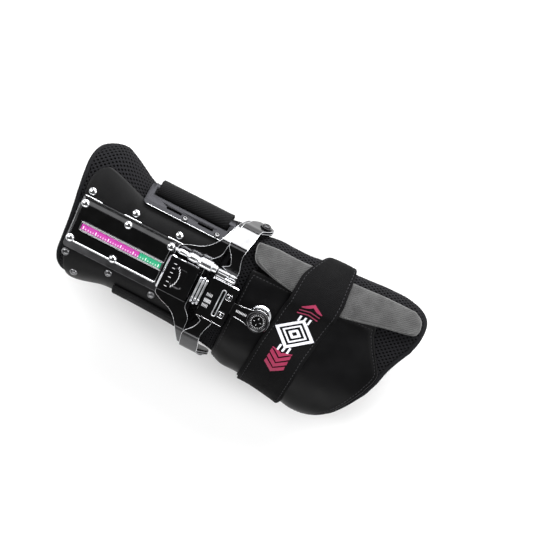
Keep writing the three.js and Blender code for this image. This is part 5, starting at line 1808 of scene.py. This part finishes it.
class GLOVE_OT_lever(bpy.types.Operator):
    """Makes the release lever with its cap, its dial and the stepped wheel under it"""

    bl_idname = "glove.lever"
    bl_label = "Release lever"

    def execute(self, context):
        bottom = box_mm("release_lever")[0][2]
        top = bottom + LEVER_WALL
        x0 = FRONT_END + GAP + 1.6
        cap = (x0 + LEVER_LENGTH, LEVER_OFFSET)
        self.make_arm(x0, cap[0], bottom, top)
        turned_piece(
            "lever_cap", CAP_PROFILE, (*cap, top - 0.05), "dark_chrome", steps=64, sharp=35, body="lever"
        )
        # Satin rings on the dark cap: painted highlights where its rim and ridge catch the light
        for label, radius, height in (("outer", CAP_RADIUS - 0.75, 1.35), ("inner", CAP_RADIUS - 2.5, 1.15)):
            ring = circle(cap, radius, np.arange(60) / 60 * math.tau, top + height)
            bound(f"lever_ring_{label}", [ring], 0.2, "satin_steel", body="lever", slot="bright_chrome")
        self.make_dial(cap, top + 1.23)
        self.make_wheel()
        return {"FINISHED"}

    def make_dial(self, cap, height):
        """Plain ticks round the cap and a cross in its middle."""
        angles = [k / DIAL_TICKS * math.tau for k in range(DIAL_TICKS)]
        headings = [(math.cos(a), math.sin(a), 0) for a in angles]
        cross = [(cap[0] + x, cap[1] + y, height) for x, y in ((0, -2.6), (0, 2.6), (-2.6, 0), (2.6, 0))]
        for name, length, places, turned in (
            ("lever_dial_ticks", 1.1, circle(cap, 5.0, angles, height), headings),
            ("lever_dial_cross", 1.3, cross, [(0, 1, 0)] * 2 + [(1, 0, 0)] * 2),
        ):
            form = block_form(rounded_outline(length, 0.28, 0.08, 2), 0, 0.12, 0.04)
            copied(name, form, places, "etched", headings=turned, sharp=50, body="lever")

    def make_wheel(self):
        low, high = box_mm("lever_wheel")
        profile = [(r * WHEEL_RADIUS, z * WHEEL_DROP) for r, z in WHEEL_PROFILE]
        middle = (low + high) / 2
        turned_piece(
            "lever_stepped_wheel", profile, (middle[0], middle[1], low[2]), "bright_chrome", steps=120,
            sharp=35, flutes=30, depth=0.03, body="lever", nodes=("lever_wheel",),
        )

    def make_arm(self, x0, cap_x, bottom, top):
        """Flat arm that widens into the round of the cap."""
        half = LEVER_ROOT_WIDTH / 2
        outline = [(x0 - 1.2, -half), (x0 + LEVER_LENGTH * 0.5, -half * 1.12)]
        outline += circle((cap_x, 0), CAP_RADIUS, [math.radians(-134 + 268 * k / 40) for k in range(41)])
        outline += [(x0 + LEVER_LENGTH * 0.5, half * 1.12), (x0 - 1.2, half)]
        outline = [(x, y + LEVER_OFFSET) for x, y in outline]
        block_piece(
            "lever_arm", outline, bottom, top, "dark_chrome", 0.4, body="lever", nodes=("release_lever",)
        )
        # A bright chrome line round the arm's upper edge: painted highlight
        edge_line = [(x0 + 3, outline[0][1]), *outline[1:-1], (x0 + 3, outline[-1][1])]
        edge_line = [(x, y, top - 0.15) for x, y in edge_line]
        bound("lever_edge_line", [edge_line], 0.24, "bright_chrome", closed=False, body="lever")
        knuckle = [(1.1, 0), (1.5, 0.3), (1.5, LEVER_ROOT_WIDTH - 0.3), (1.1, LEVER_ROOT_WIDTH)]
        turned_piece(
            "lever_knuckle", knuckle, (x0, LEVER_OFFSET - half, bottom + 1.5), "bright_chrome",
            axis=(0, 1, 0), steps=28, body="lever",
        )
        bars = [[x0 + 3 + 1.1 * k, LEVER_OFFSET, top - 0.02] for k in range(8)]
        marks("lever_grip_bars", bars, (0, 1, 0), GRIP_BAR, "etched", body="lever")


# Studio: lights by direction, size in metres and radiance; background from straight down to straight up; the
# camera's turn and lean in degrees, its aim in millimetres and the width that it sees in metres
SOFTBOXES = (
    ("light_thumb_low", (0.0, 0.93, 0.37), (1.3, 0.4), 16),
    ("light_thumb_high", (0.0, 0.571, 0.829), (1.3, 0.35), 1.8),
    ("light_outer_high", (0.1, -0.8, 0.6), (1.2, 0.4), 2.4),
    ("light_elbow", (-0.75, 0.1, 0.65), (0.5, 1.0), 4.2),
    ("light_fingers", (0.75, 0.3, 0.6), (0.5, 1.0), 4.2),
)
LIGHT_DISTANCE = 1.1
LIGHT_AIM_HEIGHT = 0.05
SKY = ((0.0, 0.9), (0.25, 0.5), (0.5, 0.2), (0.75, 0.1), (1.0, 0.09))
FLOOR_HALF_WIDTH = 3.0
CAMERA_TURN = 27
CAMERA_LEAN = 15
CAMERA_AIM = (18.9, 34.2)
CAMERA_LENS = 85
VIEW_WIDTH = 0.405


class GLOVE_OT_stage(bpy.types.Operator):
    """Makes the floor, the studio light and the camera at the photograph's angle"""

    bl_idname = "glove.stage"
    bl_label = "Studio"

    def execute(self, context):
        scene = context.scene
        scene.view_settings.view_transform = "Standard"
        self.make_floor()
        self.make_world(scene)
        for light in SOFTBOXES:
            self.softbox(*light)
        self.make_camera(scene)
        return {"FINISHED"}

    def make_floor(self):
        """White paper sweep, flat under the glove."""
        half = FLOOR_HALF_WIDTH
        mesh = bpy.data.meshes.new("floor")
        corners = [(-half, -half, 0), (half, -half, 0), (half, half, 0), (-half, half, 0)]
        mesh.from_pydata(corners, [], [(0, 1, 2, 3)])
        floor = new_object("floor", mesh)
        look, tree, shader, place = new_look("white_paper", srgb("fcfcfc"), 0.9)
        bumped(tree, shader, noise_of(tree, place, 2, 3.0), 0.1, 0.02)
        mesh.materials.append(look)

    def make_world(self, scene):
        """Bright all round and dark overhead, so that flat plates go dark and their edges catch light."""
        world = bpy.data.worlds.new("studio")
        world.use_nodes = True
        tree = world.node_tree
        place = add_node(tree, "ShaderNodeTexCoord").outputs["Generated"]
        height = add_node(tree, "ShaderNodeSeparateXYZ", {"Vector": place}).outputs["Z"]
        ramp = add_node(tree, "ShaderNodeValToRGB", {"Fac": height})
        elements = ramp.color_ramp.elements
        while len(elements) < len(SKY):
            elements.new(0.5)
        for element, (position, value) in zip(elements, SKY):
            element.position = position
            element.color = (value, value, value, 1)
        background = tree.nodes["Background"]
        tree.links.new(ramp.outputs["Color"], background.inputs["Color"])
        background.inputs["Strength"].default_value = 1.0
        scene.world = world

    def softbox(self, name, direction, size, radiance):
        """Rectangular soft light that faces the glove, of a given radiance."""
        light = bpy.data.lights.new(name, "AREA")
        light.shape = "RECTANGLE"
        light.size, light.size_y = size
        light.energy = radiance * math.pi * size[0] * size[1]
        lamp = new_object(name, light)
        towards = Vector(direction).normalized()
        lamp.location = towards * LIGHT_DISTANCE + Vector((0, 0, LIGHT_AIM_HEIGHT))
        lamp.rotation_mode = "QUATERNION"
        lamp.rotation_quaternion = towards.to_track_quat("Z", "Y")
        lamp.visible_camera = False

    def make_camera(self, scene):
        """Camera over the back of the hand, leaning to the thumb side, turned as in the photograph."""
        turn, lean = math.radians(CAMERA_TURN), math.radians(CAMERA_LEAN)
        forward = Vector((1, 0, 0))
        thumb = Vector((0, math.cos(lean), -math.sin(lean)))
        back = Vector((0, math.sin(lean), math.cos(lean)))
        right = forward * math.cos(turn) + thumb * math.sin(turn)
        up = thumb * math.cos(turn) - forward * math.sin(turn)
        aim = Vector((*(SHIFT[:2] + CAMERA_AIM), DECK_HEIGHT)) * MM
        data = bpy.data.cameras.new("camera")
        data.lens = CAMERA_LENS
        data.sensor_width = 36
        camera = new_object("camera", data)
        place = aim + back * (VIEW_WIDTH * data.lens / data.sensor_width)
        camera.matrix_world = Matrix.Translation(place) @ Matrix((right, up, back)).transposed().to_4x4()
        scene.camera = camera


class GLOVE_PT_panel(bpy.types.Panel):
    """Lists the steps and the sizes of the glove"""

    bl_idname = "GLOVE_PT_panel"
    bl_label = "Bowling glove"
    bl_space_type = "VIEW_3D"
    bl_region_type = "UI"
    bl_category = "Glove"

    def draw(self, context):
        for operator in OPERATORS:
            self.layout.operator(operator.bl_idname)
        for group in (context.scene.glove_sizes, context.scene.glove_colours):
            for name in group.bl_rna.properties.keys():
                if name not in ("rna_type", "name"):
                    self.layout.prop(group, name)


OPERATORS = (
    GLOVE_OT_stage,
    GLOVE_OT_liners,
    GLOVE_OT_cuff,
    GLOVE_OT_hand_panel,
    GLOVE_OT_index_support,
    GLOVE_OT_hand_strap,
    GLOVE_OT_forearm_strap,
    GLOVE_OT_plates,
    GLOVE_OT_rivets,
    GLOVE_OT_arms,
    GLOVE_OT_mechanism,
    GLOVE_OT_lever,
)
CLASSES = (GloveSizes, GloveColours, *OPERATORS, GLOVE_PT_panel)


def register():
    for item in CLASSES:
        bpy.utils.register_class(item)
    bpy.types.Scene.glove_sizes = PointerProperty(type=GloveSizes)
    bpy.types.Scene.glove_colours = PointerProperty(type=GloveColours)


def unregister():
    del bpy.types.Scene.glove_colours
    del bpy.types.Scene.glove_sizes
    for item in reversed(CLASSES):
        bpy.utils.unregister_class(item)


def main():
    register()
    make_looks(bpy.context.scene.glove_colours)
    make_trees()
    for operator in OPERATORS:
        group, name = operator.bl_idname.split(".")
        getattr(getattr(bpy.ops, group), name)()


if __name__ == "__main__":
    main()
